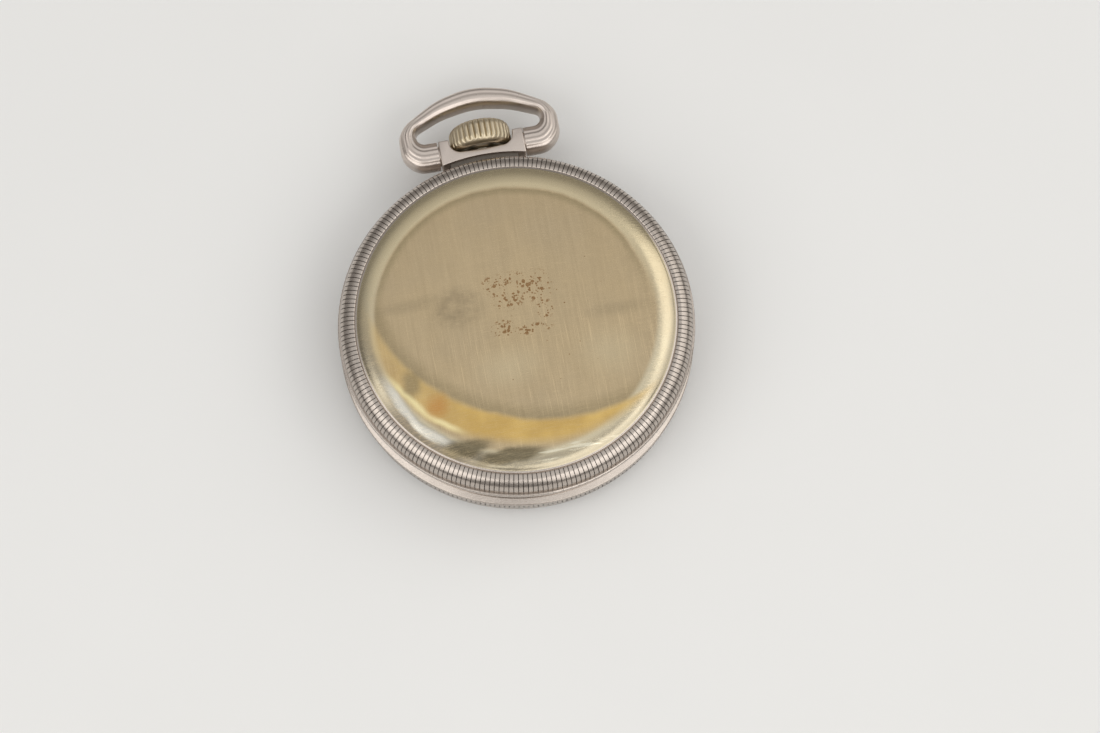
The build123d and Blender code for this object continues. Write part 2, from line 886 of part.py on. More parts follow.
def frame_half(upper):
    """The upper or lower part of the disc that the bridges are cut from."""
    low, high = plate_floor_high, bridge_high
    body = disc(frame_radius, low, high) - disc(foot_radius, 0, bridge_low)
    side = 1 if upper else -1
    edge = split_line + side * split_gap / 2
    limits = (edge, case_radius) if upper else (-case_radius, edge)
    body &= block((-case_radius, case_radius), limits, (0, back_top))
    body -= disc(balance_well_radius, 0, back_top, balance_place)
    for place in case_screw_places:
        body -= disc(screw_radius, 0, back_top, place)
        pocket = case_screw_head_radius + pocket_clearance
        body -= disc(pocket, ledge_high, back_top, place)
    return body


def cock_shape(spare, low, high):
    """The outline of the balance cock, with spare room around it."""
    foot = disc(cock_foot_radius + spare, low, high, cock_foot_place)
    head = disc(cock_head_radius + spare, low, high, balance_place)
    return foot + head + arm(cock_foot_place, balance_place, cock_arm_width + 2 * spare, low, high)


def bridge_screw_holes(places):
    holes = [disc(screw_radius, 0, back_top, place) for place in places]
    sinks = [
        disc(screw_head_radius + face_clearance, bridge_high - screw_head_height, back_top, place)
        for place in places
    ]
    return holes + sinks


def barrel_bridge():
    body = frame_half(True)
    body -= cock_shape(split_gap, 0, back_top)
    pocket = crown_tip + pocket_clearance
    body -= keyless_room(0, back_top) - disc(pocket, crown_floor, back_top, crown_wheel_place)
    body += disc(crown_hub_radius, crown_floor, crown_hub_top, crown_wheel_place)
    body -= disc(ratchet_tip + pocket_clearance, ratchet_low - face_clearance, back_top, barrel_place)
    floor_top = crown_floor + crown_floor_thickness
    body -= ring(pocket, crown_hub_radius, floor_top, back_top, crown_wheel_place)
    body -= disc(pocket, crown_hub_top, back_top, crown_wheel_place)
    body -= disc(barrel_arbor_radius + running_clearance, 0, back_top, barrel_place)
    body -= disc(jewel_radius, 0, back_top, centre_place)
    body -= disc(screw_radius, 0, back_top, crown_wheel_place)
    body -= click_room()
    body -= stem_slot()
    half = tip_radius(winding_leaves, winding_module) + pocket_clearance
    window = (winding_pinion_start - pocket_clearance, winding_pinion_end + pocket_clearance)
    body -= block((-half, half), window, (0, back_top))
    for hole in bridge_screw_holes(barrel_screws):
        body -= hole
    return body


def train_bridge():
    body = frame_half(False)
    body -= cock_shape(split_gap, 0, back_top)
    edge = escape_place[0] + 2 * jewel_radius
    body &= block((-case_radius, edge), (-case_radius, 0), (0, back_top))
    for place in upper_pivots:
        body -= disc(jewel_radius, 0, back_top, place)
    for hole in bridge_screw_holes(train_screws):
        body -= hole
    return body


def balance_cock():
    body = cock_shape(0, cock_low, cock_high)
    body += disc(cock_foot_radius, plate_floor_high, cock_low, cock_foot_place)
    body -= disc(jewel_radius, 0, back_top, balance_place)
    body -= disc(screw_radius, 0, back_top, cock_foot_place)
    body -= disc(stud_hole_radius, 0, back_top, stud_place)
    return body


def pallet_bridge():
    body = arm(*pallet_screws, pallet_bridge_width, pallet_bridge_low, pallet_bridge_high)
    for place in pallet_screws:
        body += disc(pallet_bridge_width / 2, plate_floor_high, pallet_bridge_high, place)
        body -= disc(screw_radius, 0, back_top, place)
    return body - disc(jewel_radius, 0, back_top, pallet_place)


def slot(place, radius, height, top):
    """The slot across a screw's head, for cutting."""
    half = radius * slot_share / 2
    depth = height * slot_depth_share
    cut = block((-radius - overrun, radius + overrun), (-half, half), (top - depth, top + overrun))
    return Pos(place[0], place[1], 0) * cut


def slotted_screw(place, foot, seat, head_radius=screw_head_radius, head_height=screw_head_height):
    """A screw with a slotted head on its seat."""
    top = seat + head_height
    body = disc(screw_radius, foot, seat, place) + disc(head_radius, seat, top, place)
    return body - slot(place, head_radius, head_height, top)


def bridge_screws():
    seat = bridge_high - screw_head_height
    foot = plate_floor_low
    screws = [slotted_screw(place, foot, seat) for place in barrel_screws + train_screws]
    screws.append(slotted_screw(cock_foot_place, foot, cock_high))
    head = pallet_bridge_width / 2
    screws += [
        slotted_screw(place, foot, pallet_bridge_high, head, pallet_screw_head_height)
        for place in pallet_screws
    ]
    return Compound(children=screws)


def case_screws():
    screws = [
        slotted_screw(place, plate_floor_low, ledge_high, case_screw_head_radius)
        for place in case_screw_places
    ]
    return Compound(children=screws)


def jewel(place, low):
    return ring(jewel_radius, pivot_radius + jewel_gap, low, low + jewel_thickness, place)


def train_jewels():
    """The pierced jewels of the bridges and of the pillar plate."""
    jewels = [jewel(place, bridge_low) for place in [centre_place] + upper_pivots]
    jewels.append(jewel(balance_place, cock_low))
    jewels.append(jewel(pallet_place, pallet_bridge_high - jewel_thickness / 2 - jewel_gap))
    high = plate_floor_high - jewel_thickness
    jewels += [jewel(place, high) for place in upper_pivots + [balance_place, pallet_place]]
    return Compound(children=jewels)


def balance_end_stones():
    """The end stones of the balance, with the cap over the upper one."""
    low, high = cock_low + jewel_thickness, plate_floor_high - jewel_thickness
    upper = disc(jewel_radius, low, low + jewel_thickness, balance_place)
    lower = disc(jewel_radius, high - jewel_thickness, high, balance_place)
    return Compound(children=[upper, lower, regulator_boss()])


# Power


def spiral_band(start_radius, end_radius, turns, thickness, low, high, at):
    """A flat spring wound in a spiral, as one band between two smooth curves."""
    sides = []
    for shift in (-thickness / 2, thickness / 2):
        points = []
        count = turns * spring_points
        for index in range(count + 1):
            share = index / count
            radius = start_radius + (end_radius - start_radius) * share + shift
            x, y = away(at, radius, 360 * turns * share)
            points.append((x, y, low))
        sides.append(points)
    inner, outer = Spline(*sides[0]), Spline(*sides[1])
    caps = [Line(inner @ 0, outer @ 0), Line(inner @ 1, outer @ 1)]
    return extrude(make_face([inner, outer, *caps]), high - low, dir=(0, 0, 1))


def mainspring_barrel():
    low, rim_top = barrel_low, barrel_low + barrel_rim_thickness
    body = toothed(barrel_teeth, barrel_module, low, rim_top, barrel_place, barrel_phase)
    body += disc(barrel_drum_radius, low, barrel_high, barrel_place)
    floor_top = low + barrel_cover_thickness
    body -= disc(barrel_inner_radius, floor_top, barrel_high + overrun, barrel_place)
    return body - disc(barrel_pivot_radius + running_clearance, 0, back_top, barrel_place)


def barrel_cover():
    low = barrel_high - barrel_cover_thickness
    bore = barrel_arbor_radius + running_clearance
    return ring(barrel_inner_radius, bore, low, barrel_high, barrel_place)


def barrel_arbor():
    core_low = barrel_low + barrel_cover_thickness + running_clearance
    core_high = barrel_high - barrel_cover_thickness - running_clearance
    body = disc(barrel_pivot_radius, plate_floor_low + running_clearance, core_low, barrel_place)
    body += disc(arbor_core_radius, core_low, core_high, barrel_place)
    return body + disc(barrel_arbor_radius, core_high, ratchet_low, barrel_place)


def mainspring():
    low = barrel_low + barrel_cover_thickness + 2 * running_clearance
    high = barrel_high - barrel_cover_thickness - 2 * running_clearance
    end = barrel_inner_radius - spring_band
    return spiral_band(spring_start_radius, end, spring_turns, spring_band, low, high, barrel_place)


def ratchet_wheel():
    low, high = ratchet_low, ratchet_high
    return toothed(ratchet_teeth, winding_module, low, high, barrel_place, ratchet_phase)


def ratchet_screw():
    top = ratchet_high + ratchet_screw_height
    body = disc(ratchet_screw_radius, ratchet_high, top, barrel_place)
    return body - slot(barrel_place, ratchet_screw_radius, ratchet_screw_height, top)


def crown_wheel():
    body = toothed(
        crown_wheel_teeth, winding_module, crown_teeth_low, ratchet_high, crown_wheel_place, crown_phase
    )
    room = crown_hub_radius + running_clearance
    body -= disc(room, 0, crown_hub_top + running_clearance, crown_wheel_place)
    return body - disc(crown_screw_radius + running_clearance, 0, back_top, crown_wheel_place)


def crown_wheel_screw():
    low = ratchet_high + running_clearance
    top = low + ratchet_screw_height
    body = disc(crown_screw_head_radius, low, top, crown_wheel_place)
    body += disc(crown_screw_radius, crown_hub_top, low, crown_wheel_place)
    body += disc(screw_radius, crown_floor, crown_hub_top, crown_wheel_place)
    return body - slot(crown_wheel_place, crown_screw_head_radius, ratchet_screw_height, top)


def click_room():
    """The sunk room that the click moves in."""
    low = ratchet_low - face_clearance
    room = arm(click_tip, click_pivot, click_room_width, low, back_top)
    return room + arm(click_pivot, click_spring_start, click_spring_room_width, low, back_top)


def click():
    return arm(click_tip, click_pivot, click_width, ratchet_low, ratchet_low + click_thickness)


def click_spring():
    low, high = ratchet_low - face_clearance, ratchet_low + click_thickness
    return disc(click_spring_radius, low, high, click_spring_start)


# Train: arbors with their leaves, and the wheels riveted on them


def crossings(rim_inner, low, high, at):
    """The windows between a wheel's spokes, for cutting."""
    window = ring(rim_inner, hub_radius, low - overrun, high + overrun, at)
    for index in range(crossing_count):
        tip = away(at, rim_inner + spoke_width / 2, 360 * index / crossing_count)
        window -= arm(at, tip, spoke_width, low - 2 * overrun, high + 2 * overrun)
    return window


def train_wheel(teeth, module, low, at, phase):
    """A spoked brass wheel."""
    high = low + wheel_thickness
    body = toothed(teeth, module, low, high, at, phase)
    body -= crossings(root_radius(teeth, module) - rim_width, low, high, at)
    return body - disc(seat_radius, 0, back_top, at)


def pinion(leaves, module, leaf_range, at, phase, seat_range, foot=lower_pivot_foot):
    """An arbor with leaves, a seat for its wheel and a pivot at each end."""
    body = toothed(leaves, module, *leaf_range, at, phase)
    body += disc(arbor_radius, plate_floor_high + running_clearance, bridge_low - running_clearance, at)
    body += disc(seat_radius, *seat_range, at)
    return body + disc(pivot_radius, foot, upper_pivot_top, at)


def third_pinion():
    low = centre_wheel_low - wheel_thickness
    leaves = (low, centre_wheel_low + wheel_thickness + leaf_stand)
    seat = (third_wheel_low, low)
    return pinion(third_leaves, centre_module, leaves, third_place, third_leaf_phase, seat)


def fourth_pinion():
    leaves = (third_wheel_low - wheel_thickness, third_wheel_low + 2 * wheel_thickness)
    seat = (leaves[1], fourth_wheel_low + wheel_thickness)
    return pinion(
        fourth_leaves, third_module, leaves, fourth_place, fourth_leaf_phase, seat, seconds_arbor_foot
    )


def escape_pinion():
    leaves = (fourth_wheel_low - wheel_thickness, fourth_wheel_low + 2 * wheel_thickness)
    seat = (escape_wheel_low, leaves[0])
    return pinion(escape_leaves, fourth_module, leaves, escape_place, escape_leaf_phase, seat)


def centre_pinion():
    leaves = (centre_leaf_low, centre_leaf_high)
    body = toothed(centre_leaves, barrel_module, *leaves, centre_place, centre_leaf_phase)
    body += disc(seat_radius, centre_leaf_high, centre_wheel_low + wheel_thickness, centre_place)
    body += disc(pivot_radius, centre_leaf_high, upper_pivot_top, centre_place)
    return body + disc(centre_post_radius, minute_hand_low, centre_leaf_low, centre_place)


def centre_wheel():
    return train_wheel(centre_teeth, centre_module, centre_wheel_low, centre_place, centre_phase)


def third_wheel():
    return train_wheel(third_teeth, third_module, third_wheel_low, third_place, third_phase)


def fourth_wheel():
    return train_wheel(fourth_teeth, fourth_module, fourth_wheel_low, fourth_place, fourth_phase)


# Escapement


def escape_wheel():
    low, high = escape_wheel_low, escape_wheel_low + wheel_thickness
    root = escape_radius - escape_tooth_depth
    pitch = 360 / escape_teeth
    points = []
    for index in range(escape_teeth):
        start = lever_bearing + index * pitch
        points.append(away(escape_place, root, start))
        points.append(away(escape_place, escape_radius, start + escape_lean_angle))
        points.append(away(escape_place, escape_radius, start + escape_lean_angle + escape_tip_angle))
        points.append(away(escape_place, root, start + escape_heel_angle))
    body = plate_of(points, low, high)
    body -= crossings(root - spoke_width, low, high, escape_place)
    return body - disc(seat_radius, 0, back_top, escape_place)


def pallet_arms():
    """The places of the two stones, each just outside the escape wheel's tips."""
    radius = escape_radius + stone_gap + stone_width
    return [away(escape_place, radius, lever_bearing + side * pallet_spread_angle) for side in (-1, 1)]


def pallet_fork():
    tip = away(pallet_place, lever_length - horn_reach, lever_bearing)
    body = arm(pallet_place, tip, fork_width, fork_low, fork_high)
    for place in pallet_arms():
        body += arm(pallet_place, place, fork_width, fork_low, fork_high)
    for side in (-1, 1):
        start = away(tip, fork_gap / 2, lever_bearing + side * quarter_turn)
        body += arm(start, away(start, horn_reach, lever_bearing), horn_width, fork_low, fork_high)
    body -= disc(pallet_seat_radius, 0, back_top, pallet_place)
    for place in pallet_arms():
        body -= disc(stone_width / 2, 0, back_top, place)
    return Compound(children=[body, *pallet_stones()])


def pallet_stones():
    low = fork_low - wheel_thickness / 2
    return [disc(stone_width / 2, low, fork_high, place) for place in pallet_arms()]


def pallet_arbor():
    low, high = fork_low - pallet_seat_radius, fork_high + pivot_radius / 2
    body = disc(pallet_seat_radius, low, high, pallet_place)
    top = pallet_bridge_high - running_clearance
    return body + disc(pivot_radius, lower_pivot_foot, top, pallet_place)


# Balance


def balance_wheel():
    inner = balance_radius - balance_rim_width
    body = ring(balance_radius, inner, balance_low, balance_high, balance_place)
    middle = inner + balance_rim_width / 2
    turns = (quarter_turn, -quarter_turn)
    ends = [away(balance_place, middle, lever_bearing + turn) for turn in turns]
    arm_high = balance_low + balance_arm_thickness
    body += arm(*ends, balance_arm_width, balance_low, arm_high)
    body += disc(hub_radius, balance_low, arm_high, balance_place)
    return body - disc(seat_radius, 0, back_top, balance_place)


def timing_screws():
    middle = (balance_low + balance_high) / 2
    heads = []
    for index in range(timing_screw_count):
        turn = 360 * (index + 0.5) / timing_screw_count
        end = balance_radius + timing_screw_length
        head = Rot(0, quarter_turn, 0) * disc(timing_screw_radius, balance_radius, end)
        heads.append(Pos(balance_place[0], balance_place[1], middle) * Rot(0, 0, turn) * head)
    return Compound(children=heads)


def balance_staff():
    body = disc(seat_radius, roller_low, collet_low + collet_height, balance_place)
    body += disc(arbor_radius, roller_low - arbor_radius, cock_low - running_clearance, balance_place)
    top = cock_low + jewel_thickness - running_clearance
    return body + disc(pivot_radius, lower_pivot_foot, top, balance_place)


def roller_table():
    body = ring(roller_radius, seat_radius, roller_low, roller_high, balance_place)
    body -= disc(roller_jewel_radius, 0, back_top, roller_jewel_place())
    return Compound(children=[body, roller_jewel()])


def roller_jewel_place():
    return away(balance_place, roller_jewel_place_radius, lever_bearing + 180)


def roller_jewel():
    low = fork_high + running_clearance
    return disc(roller_jewel_radius, low, roller_high, roller_jewel_place())


def hairspring_collet():
    return ring(collet_radius, seat_radius, collet_low, collet_low + collet_height, balance_place)


def hairspring():
    start = collet_radius + hairspring_band / 2
    coil = spiral_band(
        start, hairspring_end_radius, hairspring_turns, hairspring_band,
        hairspring_low, hairspring_high, balance_place,
    )
    return Compound(children=[coil, hairspring_collet()])


def hairspring_stud():
    return disc(stud_hole_radius, hairspring_high, cock_high, stud_place)


def regulator():
    low = cock_high + running_clearance
    high = low + regulator_thickness
    tip = away(balance_place, regulator_reach, regulator_bearing)
    body = disc(regulator_ring_radius, low, high, balance_place)
    body += arm(balance_place, tip, regulator_width, low, high)
    return body - disc(cap_plate_radius, 0, back_top, balance_place)


def regulator_boss():
    """The cap that holds the regulator's ring and the upper end stone."""
    low = cock_low + 2 * jewel_thickness
    high = cock_high + 2 * regulator_thickness
    body = disc(cap_plate_radius - running_clearance, cock_high, high, balance_place)
    return body + disc(jewel_radius - running_clearance, low, cock_high, balance_place)


# Winding and setting


def winding_pinion():
    high = winding_pinion_end - winding_pinion_start
    body = toothed(winding_leaves, winding_module, 0, high, (0, 0), winding_phase_angle)
    body -= disc(stem_radius + running_clearance, -overrun, high + overrun)
    return Pos(0, winding_pinion_start, stem_height) * Rot(-quarter_turn, 0, 0) * body


def sliding_clutch():
    body = rod(clutch_radius, clutch_start, clutch_end)
    middle = (clutch_start + clutch_end) / 2
    width = (clutch_end - clutch_start) * clutch_groove_share
    groove = rod(clutch_radius + overrun, middle - width / 2, middle + width / 2)
    body -= groove - rod(clutch_radius - clutch_groove_depth, 0, clutch_end + overrun)
    half = stem_square / 2 + running_clearance
    return body - block((-half, half), (0, case_radius), (stem_height - half, stem_height + half))


def setting_lever():
    low, high = keyless_low, keyless_low + keyless_lever_thickness
    groove = (0, groove_start + groove_width / 2)
    body = arm(lever_pivot, groove, click_width, low, high)
    pin = disc(stem_radius / 2, low, stem_height - stem_radius - running_clearance, groove)
    return body + pin - disc(screw_radius + running_clearance, 0, back_top, lever_pivot)


def clutch_yoke():
    low, high = keyless_low, keyless_low + keyless_lever_thickness
    body = arm(yoke_pivot, yoke_tip, click_width, low, high)
    return body - disc(screw_radius, 0, back_top, yoke_pivot)


def keyless_springs():
    """The springs of the click and of the clutch's yoke."""
    return Compound(children=[click_spring(), yoke_spring()])


def yoke_spring():
    low, high = keyless_low, keyless_low + keyless_lever_thickness
    start = (yoke_pivot[0] - yoke_spring_gap, yoke_pivot[1] - 2 * yoke_spring_shift)
    end = (yoke_tip[0] - yoke_spring_gap, yoke_tip[1] - yoke_spring_shift)
    return arm(start, end, click_width / 2, low, high)


def keyless_screws():
    places = (lever_pivot, yoke_pivot)
    return [disc(screw_radius, keyless_low, plate_floor_low, place) for place in places]


def setting_wheel():
    body = toothed(
        setting_teeth, cannon_module, minute_wheel_low, minute_wheel_high, setting_place, setting_phase
    )
    return body - disc(minute_post_radius + running_clearance, 0, back_top, setting_place)


# Dial side


def dial():
    high = dial_face + dial_thickness
    body = disc(dial_radius, dial_face, high) - disc(dial_hole_radius, 0, back_top)
    body -= disc(2 * pivot_radius, 0, back_top, fourth_place)
    body -= disc(seconds_hand_length + hand_width / 2, 0, dial_face + dial_sunk_depth, fourth_place)
    for place in dial_foot_places:
        body += disc(dial_foot_radius, high, plate_floor_low, place)
    return body


def dial_foot_screws():
    screws = [
        disc(screw_radius, plate_floor_low, plate_floor_high, place)
        for place in dial_foot_places
    ]
    return Compound(children=screws)


def cannon_pinion():
    low = minute_wheel_low - wheel_thickness / 2
    body = toothed(cannon_leaves, cannon_module, low, cannon_top, centre_place, cannon_phase)
    body += disc(cannon_radius, minute_hand_low + hand_thickness, cannon_top, centre_place)
    return body - disc(centre_post_radius, 0, back_top, centre_place)


def minute_wheel():
    low, high = minute_wheel_low, minute_wheel_high
    body = toothed(minute_teeth, cannon_module, low, high, minute_place, minute_phase)
    body += toothed(minute_leaves, minute_module, hour_wheel_low, low, minute_place, minute_leaf_phase)
    return body - disc(minute_post_radius + running_clearance, 0, back_top, minute_place)


def minute_posts():
    return [
        disc(minute_post_radius, hour_wheel_low, plate_floor_high, minute_place),
        disc(minute_post_radius, minute_wheel_low - wheel_thickness, plate_floor_high, setting_place),
    ]


def keyless_posts():
    return Compound(children=minute_posts() + keyless_screws())


def hour_wheel():
    body = toothed(hour_teeth, minute_module, hour_wheel_low, hour_wheel_high, centre_place, hour_phase)
    body += disc(hour_tube_radius, hour_hand_low + hand_thickness, hour_wheel_high, centre_place)
    return body - disc(cannon_radius + running_clearance, 0, back_top, centre_place)


def hand(length, width, low, at, bearing, hole):
    """A pointed hand with a round boss."""
    high = low + hand_thickness
    middle = away(at, length / 2, bearing)
    turns = (quarter_turn, -quarter_turn)
    side = [away(at, width / 2, bearing + turn) for turn in turns]
    wide = [away(middle, width / 2, bearing + turn) for turn in turns]
    points = [side[0], wide[0], away(at, length, bearing), wide[1], side[1]]
    body = plate_of(points, low, high) + disc(width * hand_boss_share, low, high, at)
    return body - disc(hole, 0, back_top, at)


def hour_hand():
    hole = cannon_radius + running_clearance
    return hand(hour_hand_length, hour_hand_width, hour_hand_low, centre_place, hour_bearing, hole)


def minute_hand():
    hole = centre_post_radius
    return hand(minute_hand_length, hand_width, minute_hand_low, centre_place, minute_bearing, hole)


def seconds_hand():
    width = hand_width / 2
    return hand(
        seconds_hand_length, width, seconds_hand_low, fourth_place, seconds_bearing, pivot_radius
    )


PIECES = [
    back_cover, back_gasket, case_middle, bezel, crystal, pendant, pendant_sleeve, crown, winding_stem, bow,
    pillar_plate, barrel_bridge, train_bridge, balance_cock, pallet_bridge, bridge_screws, case_screws,
    train_jewels, balance_end_stones, mainspring_barrel, barrel_cover, barrel_arbor, mainspring,
    ratchet_wheel, ratchet_screw, crown_wheel, crown_wheel_screw, click, centre_pinion, centre_wheel,
    third_pinion, third_wheel, fourth_pinion, fourth_wheel, escape_pinion, escape_wheel, pallet_fork,
    pallet_arbor, balance_wheel, timing_screws, balance_staff, roller_table, hairspring,
    hairspring_stud, regulator, winding_pinion, sliding_clutch, setting_lever, clutch_yoke, keyless_springs,
    keyless_posts, setting_wheel, dial, dial_foot_screws, cannon_pinion, minute_wheel, hour_wheel, hour_hand,
    minute_hand, seconds_hand,
]


def main():
    os.makedirs("parts", exist_ok=True)
    for piece in PIECES:
        solid = piece()
        export_step(solid, f"parts/{piece.__name__}.step")
        print(piece.__name__, round(solid.volume, 2))


main()
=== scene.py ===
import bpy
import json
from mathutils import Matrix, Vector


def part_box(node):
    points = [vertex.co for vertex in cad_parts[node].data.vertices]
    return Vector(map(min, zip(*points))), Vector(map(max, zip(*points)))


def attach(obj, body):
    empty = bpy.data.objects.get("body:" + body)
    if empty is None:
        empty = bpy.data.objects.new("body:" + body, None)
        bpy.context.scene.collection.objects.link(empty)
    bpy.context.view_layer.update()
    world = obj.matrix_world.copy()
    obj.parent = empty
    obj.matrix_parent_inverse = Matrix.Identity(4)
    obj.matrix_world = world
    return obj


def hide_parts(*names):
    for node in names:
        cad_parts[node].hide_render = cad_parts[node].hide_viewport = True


bl_info = {
    "name": "Deck watch",
    "version": (1, 0, 0),
    "blender": (4, 5, 0),
    "location": "3D view > Sidebar > Deck watch",
    "description": "Dresses the engineered parts of a deck watch with their finished surfaces",
    "category": "Object",
}

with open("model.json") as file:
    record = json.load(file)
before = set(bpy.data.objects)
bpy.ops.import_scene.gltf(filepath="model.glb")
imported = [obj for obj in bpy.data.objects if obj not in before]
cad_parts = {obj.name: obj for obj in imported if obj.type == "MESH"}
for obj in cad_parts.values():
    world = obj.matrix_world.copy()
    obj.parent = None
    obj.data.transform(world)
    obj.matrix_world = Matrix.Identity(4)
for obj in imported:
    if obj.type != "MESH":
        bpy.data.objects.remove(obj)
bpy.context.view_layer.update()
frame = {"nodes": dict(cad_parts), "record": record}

import json
import math
from functools import cache, reduce

import bmesh
import bpy
from mathutils import Matrix, Vector

MM = 0.001
FULL_TURN = math.tau
UP = Vector((0, 0, 1))
TIGHT = 0.002 * MM


def low(node):
    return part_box(node)[0]


def high(node):
    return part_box(node)[1]


STEM_HEIGHT = (low("crown").z + high("crown").z) / 2


# Modelling helpers

def begin(name, add, **place):
    """Adds a primitive with nothing else selected, and opens it in edit mode."""
    bpy.ops.object.select_all(action="DESELECT")
    add(**place)
    piece = bpy.context.object
    piece.name = name
    piece.data.name = name
    bpy.ops.object.mode_set(mode="EDIT")
    return piece


def finish_edit():
    bpy.ops.object.mode_set(mode="OBJECT")


def select_all():
    bpy.ops.mesh.select_all(action="SELECT")


def select(piece, wanted):
    """Selects the vertices that a test wants."""
    bpy.ops.mesh.select_mode(type="VERT")
    bpy.ops.mesh.select_all(action="DESELECT")
    mesh = bmesh.from_edit_mesh(piece.data)
    for vertex in mesh.verts:
        if wanted(vertex):
            vertex.select_set(True)
    mesh.select_flush(True)
    bmesh.update_edit_mesh(piece.data)


def choose(*pieces):
    """Selects these objects alone, with the first one active."""
    bpy.ops.object.select_all(action="DESELECT")
    for piece in pieces:
        piece.select_set(True)
    bpy.context.view_layer.objects.active = pieces[0]


def join_up(*pieces):
    """Joins objects into the first one."""
    choose(*pieces)
    bpy.ops.object.join()
    return pieces[0]


def draw_chain(name, points):
    """A chain of edges through the points, drawn by extruding one vertex after another."""
    piece = begin(name, bpy.ops.mesh.primitive_circle_add, vertices=3, radius=MM)
    mesh = bmesh.from_edit_mesh(piece.data)
    mesh.verts.ensure_lookup_table()
    kept = mesh.verts[0]
    select(piece, lambda vertex: vertex != kept)
    bpy.ops.mesh.delete(type="VERT")
    select_all()
    mesh = bmesh.from_edit_mesh(piece.data)
    mesh.verts.ensure_lookup_table()
    bpy.ops.transform.translate(value=points[0] - mesh.verts[0].co)
    for start, end in zip(points, points[1:]):
        bpy.ops.mesh.extrude_vertices_move(TRANSFORM_OT_translate={"value": end - start})
    return piece


def spin_slice(steps, pitch, centre, axis):
    """Spins the chain of edges into one slice of a turned piece."""
    select_all()
    bpy.ops.mesh.spin(steps=steps, angle=pitch, center=centre, axis=axis)


def copy_slice(number, pitch, centre, axis):
    """Copies one slice all round."""
    select_all()
    bpy.ops.mesh.spin(steps=number - 1, dupli=True, angle=FULL_TURN - pitch, center=centre, axis=axis)


def close_up(piece, smooth_angle=35.0):
    """Merges the seams, turns the faces outwards, leaves edit mode and shades the piece."""
    select_all()
    bpy.ops.mesh.remove_doubles(threshold=TIGHT)
    bpy.ops.mesh.normals_make_consistent(inside=False)
    finish_edit()
    bpy.ops.object.shade_smooth_by_angle(angle=math.radians(smooth_angle))


def shares(steps):
    """Even shares from none to all."""
    return [step / steps for step in range(steps + 1)]


def arc(start, end, bulge, steps):
    """Points on an arc between two points of a flat drawing, which stands out by its bulge."""
    start = Vector(start)
    end = Vector(end)
    chord = end - start
    out = Vector((chord.y, -chord.x)).normalized()
    if abs(bulge) < TIGHT:
        return [start.lerp(end, part) for part in shares(steps)]
    radius = (chord.length ** 2 / 4 + bulge ** 2) / (2 * abs(bulge))
    centre = (start + end) / 2 + out * (bulge - math.copysign(radius, bulge))
    first = start - centre
    swing = first.angle_signed(end - centre)
    return [centre + Matrix.Rotation(-swing * part, 2) @ first for part in shares(steps)]


def quarter(centre, start_angle, end_angle, radii, steps):
    """Points on a quarter of an ellipse in a flat drawing."""
    points = []
    for part in shares(steps):
        angle = math.radians(start_angle + (end_angle - start_angle) * part)
        along = centre[0] + radii[0] * math.cos(angle)
        points.append(Vector((along, centre[1] + radii[1] * math.sin(angle))))
    return points


def joined(*runs):
    """One list of points from several runs, without a point that repeats the last."""
    points = []
    for run in runs:
        for point in run:
            point = Vector(point)
            if not points or (point - points[-1]).length > TIGHT:
                points.append(point)
    return points


# Settings that a user would change

def length(text, millimetres):
    return bpy.props.FloatProperty(
        name=text, description=text + ", in metres", default=millimetres * MM, unit="LENGTH", precision=6,
    )


def count(text, amount):
    return bpy.props.IntProperty(name=text, description=text, default=amount, min=1)


def colour(text, rgb):
    return bpy.props.FloatVectorProperty(
        name=text, description=text, default=rgb, subtype="COLOR", size=3, min=0.0, max=1.0,
    )


def turn(text, degrees):
    angle = math.radians(degrees)
    return bpy.props.FloatProperty(name=text, description=text, default=angle, subtype="ANGLE")


class DeckWatchCase(bpy.types.PropertyGroup):
    """Sizes of the turned and milled parts of the case."""

    ridges: count("Ridges of a milled rim", 228)
    ridge_depth: length("Depth of the milling", 0.3)
    crest_radius: length("Radius at the rim's crest", 23.1)
    step_radius: length("Outer radius of the back's shoulder", 22.75)
    step_drop: length("Height of the step under the back's top", 1.22)
    crease_radius: length("Radius of the crease round the dome", 20.2)
    crease_drop: length("Height of the crease under the back's top", 0.38)
    crease_slope: turn("Slope of the shoulder at the crease", 7.0)
    wall: length("Wall of the back cover", 0.6)
    thread_radius: length("Radius of the cover's thread", 23.65)
    cover_floor: length("Depth of the cover's thread", 2.35)
    back_crest: length("Depth of the back's crest under the step", 0.1)
    back_side: length("Height of the back's straight side", 0.95)
    bezel_crest: length("Height of the bezel's crest over its face", 1.1)
    bezel_side: length("Height of the bezel's straight side over its face", 2.0)
    lip_bulge: length("Bulge of the bezel's roll", 0.14)
    lip_radius: length("Inner radius of the bezel's roll", 21.3)
    mouth_radius: length("Radius of the bezel's opening", 20.85)
    throat_radius: length("Radius of the bezel in front of the crystal", 20.75)
    ledge_radius: length("Radius of the bezel behind the crystal", 20.6)
    crystal_depth: length("Depth of the crystal's groove in the bezel", 0.41)


class DeckWatchCrown(bpy.types.PropertyGroup):
    """Sizes of the crown."""

    flutes: count("Flutes round the crown", 32)
    flute_depth: length("Depth of a flute", 0.3)
    end_round: length("Round at the crown's ends", 1.15)
    top_bulge: length("Bulge of the crown's top", 0.3)
    smooth_foot: length("Smooth round under the flutes", 0.5)
    foot_round: length("Round at the crown's underside", 1.3)
    boss_radius: length("Radius of the boss under the crown", 1.5)
    boss_height: length("Height of the boss under the crown", 0.08)


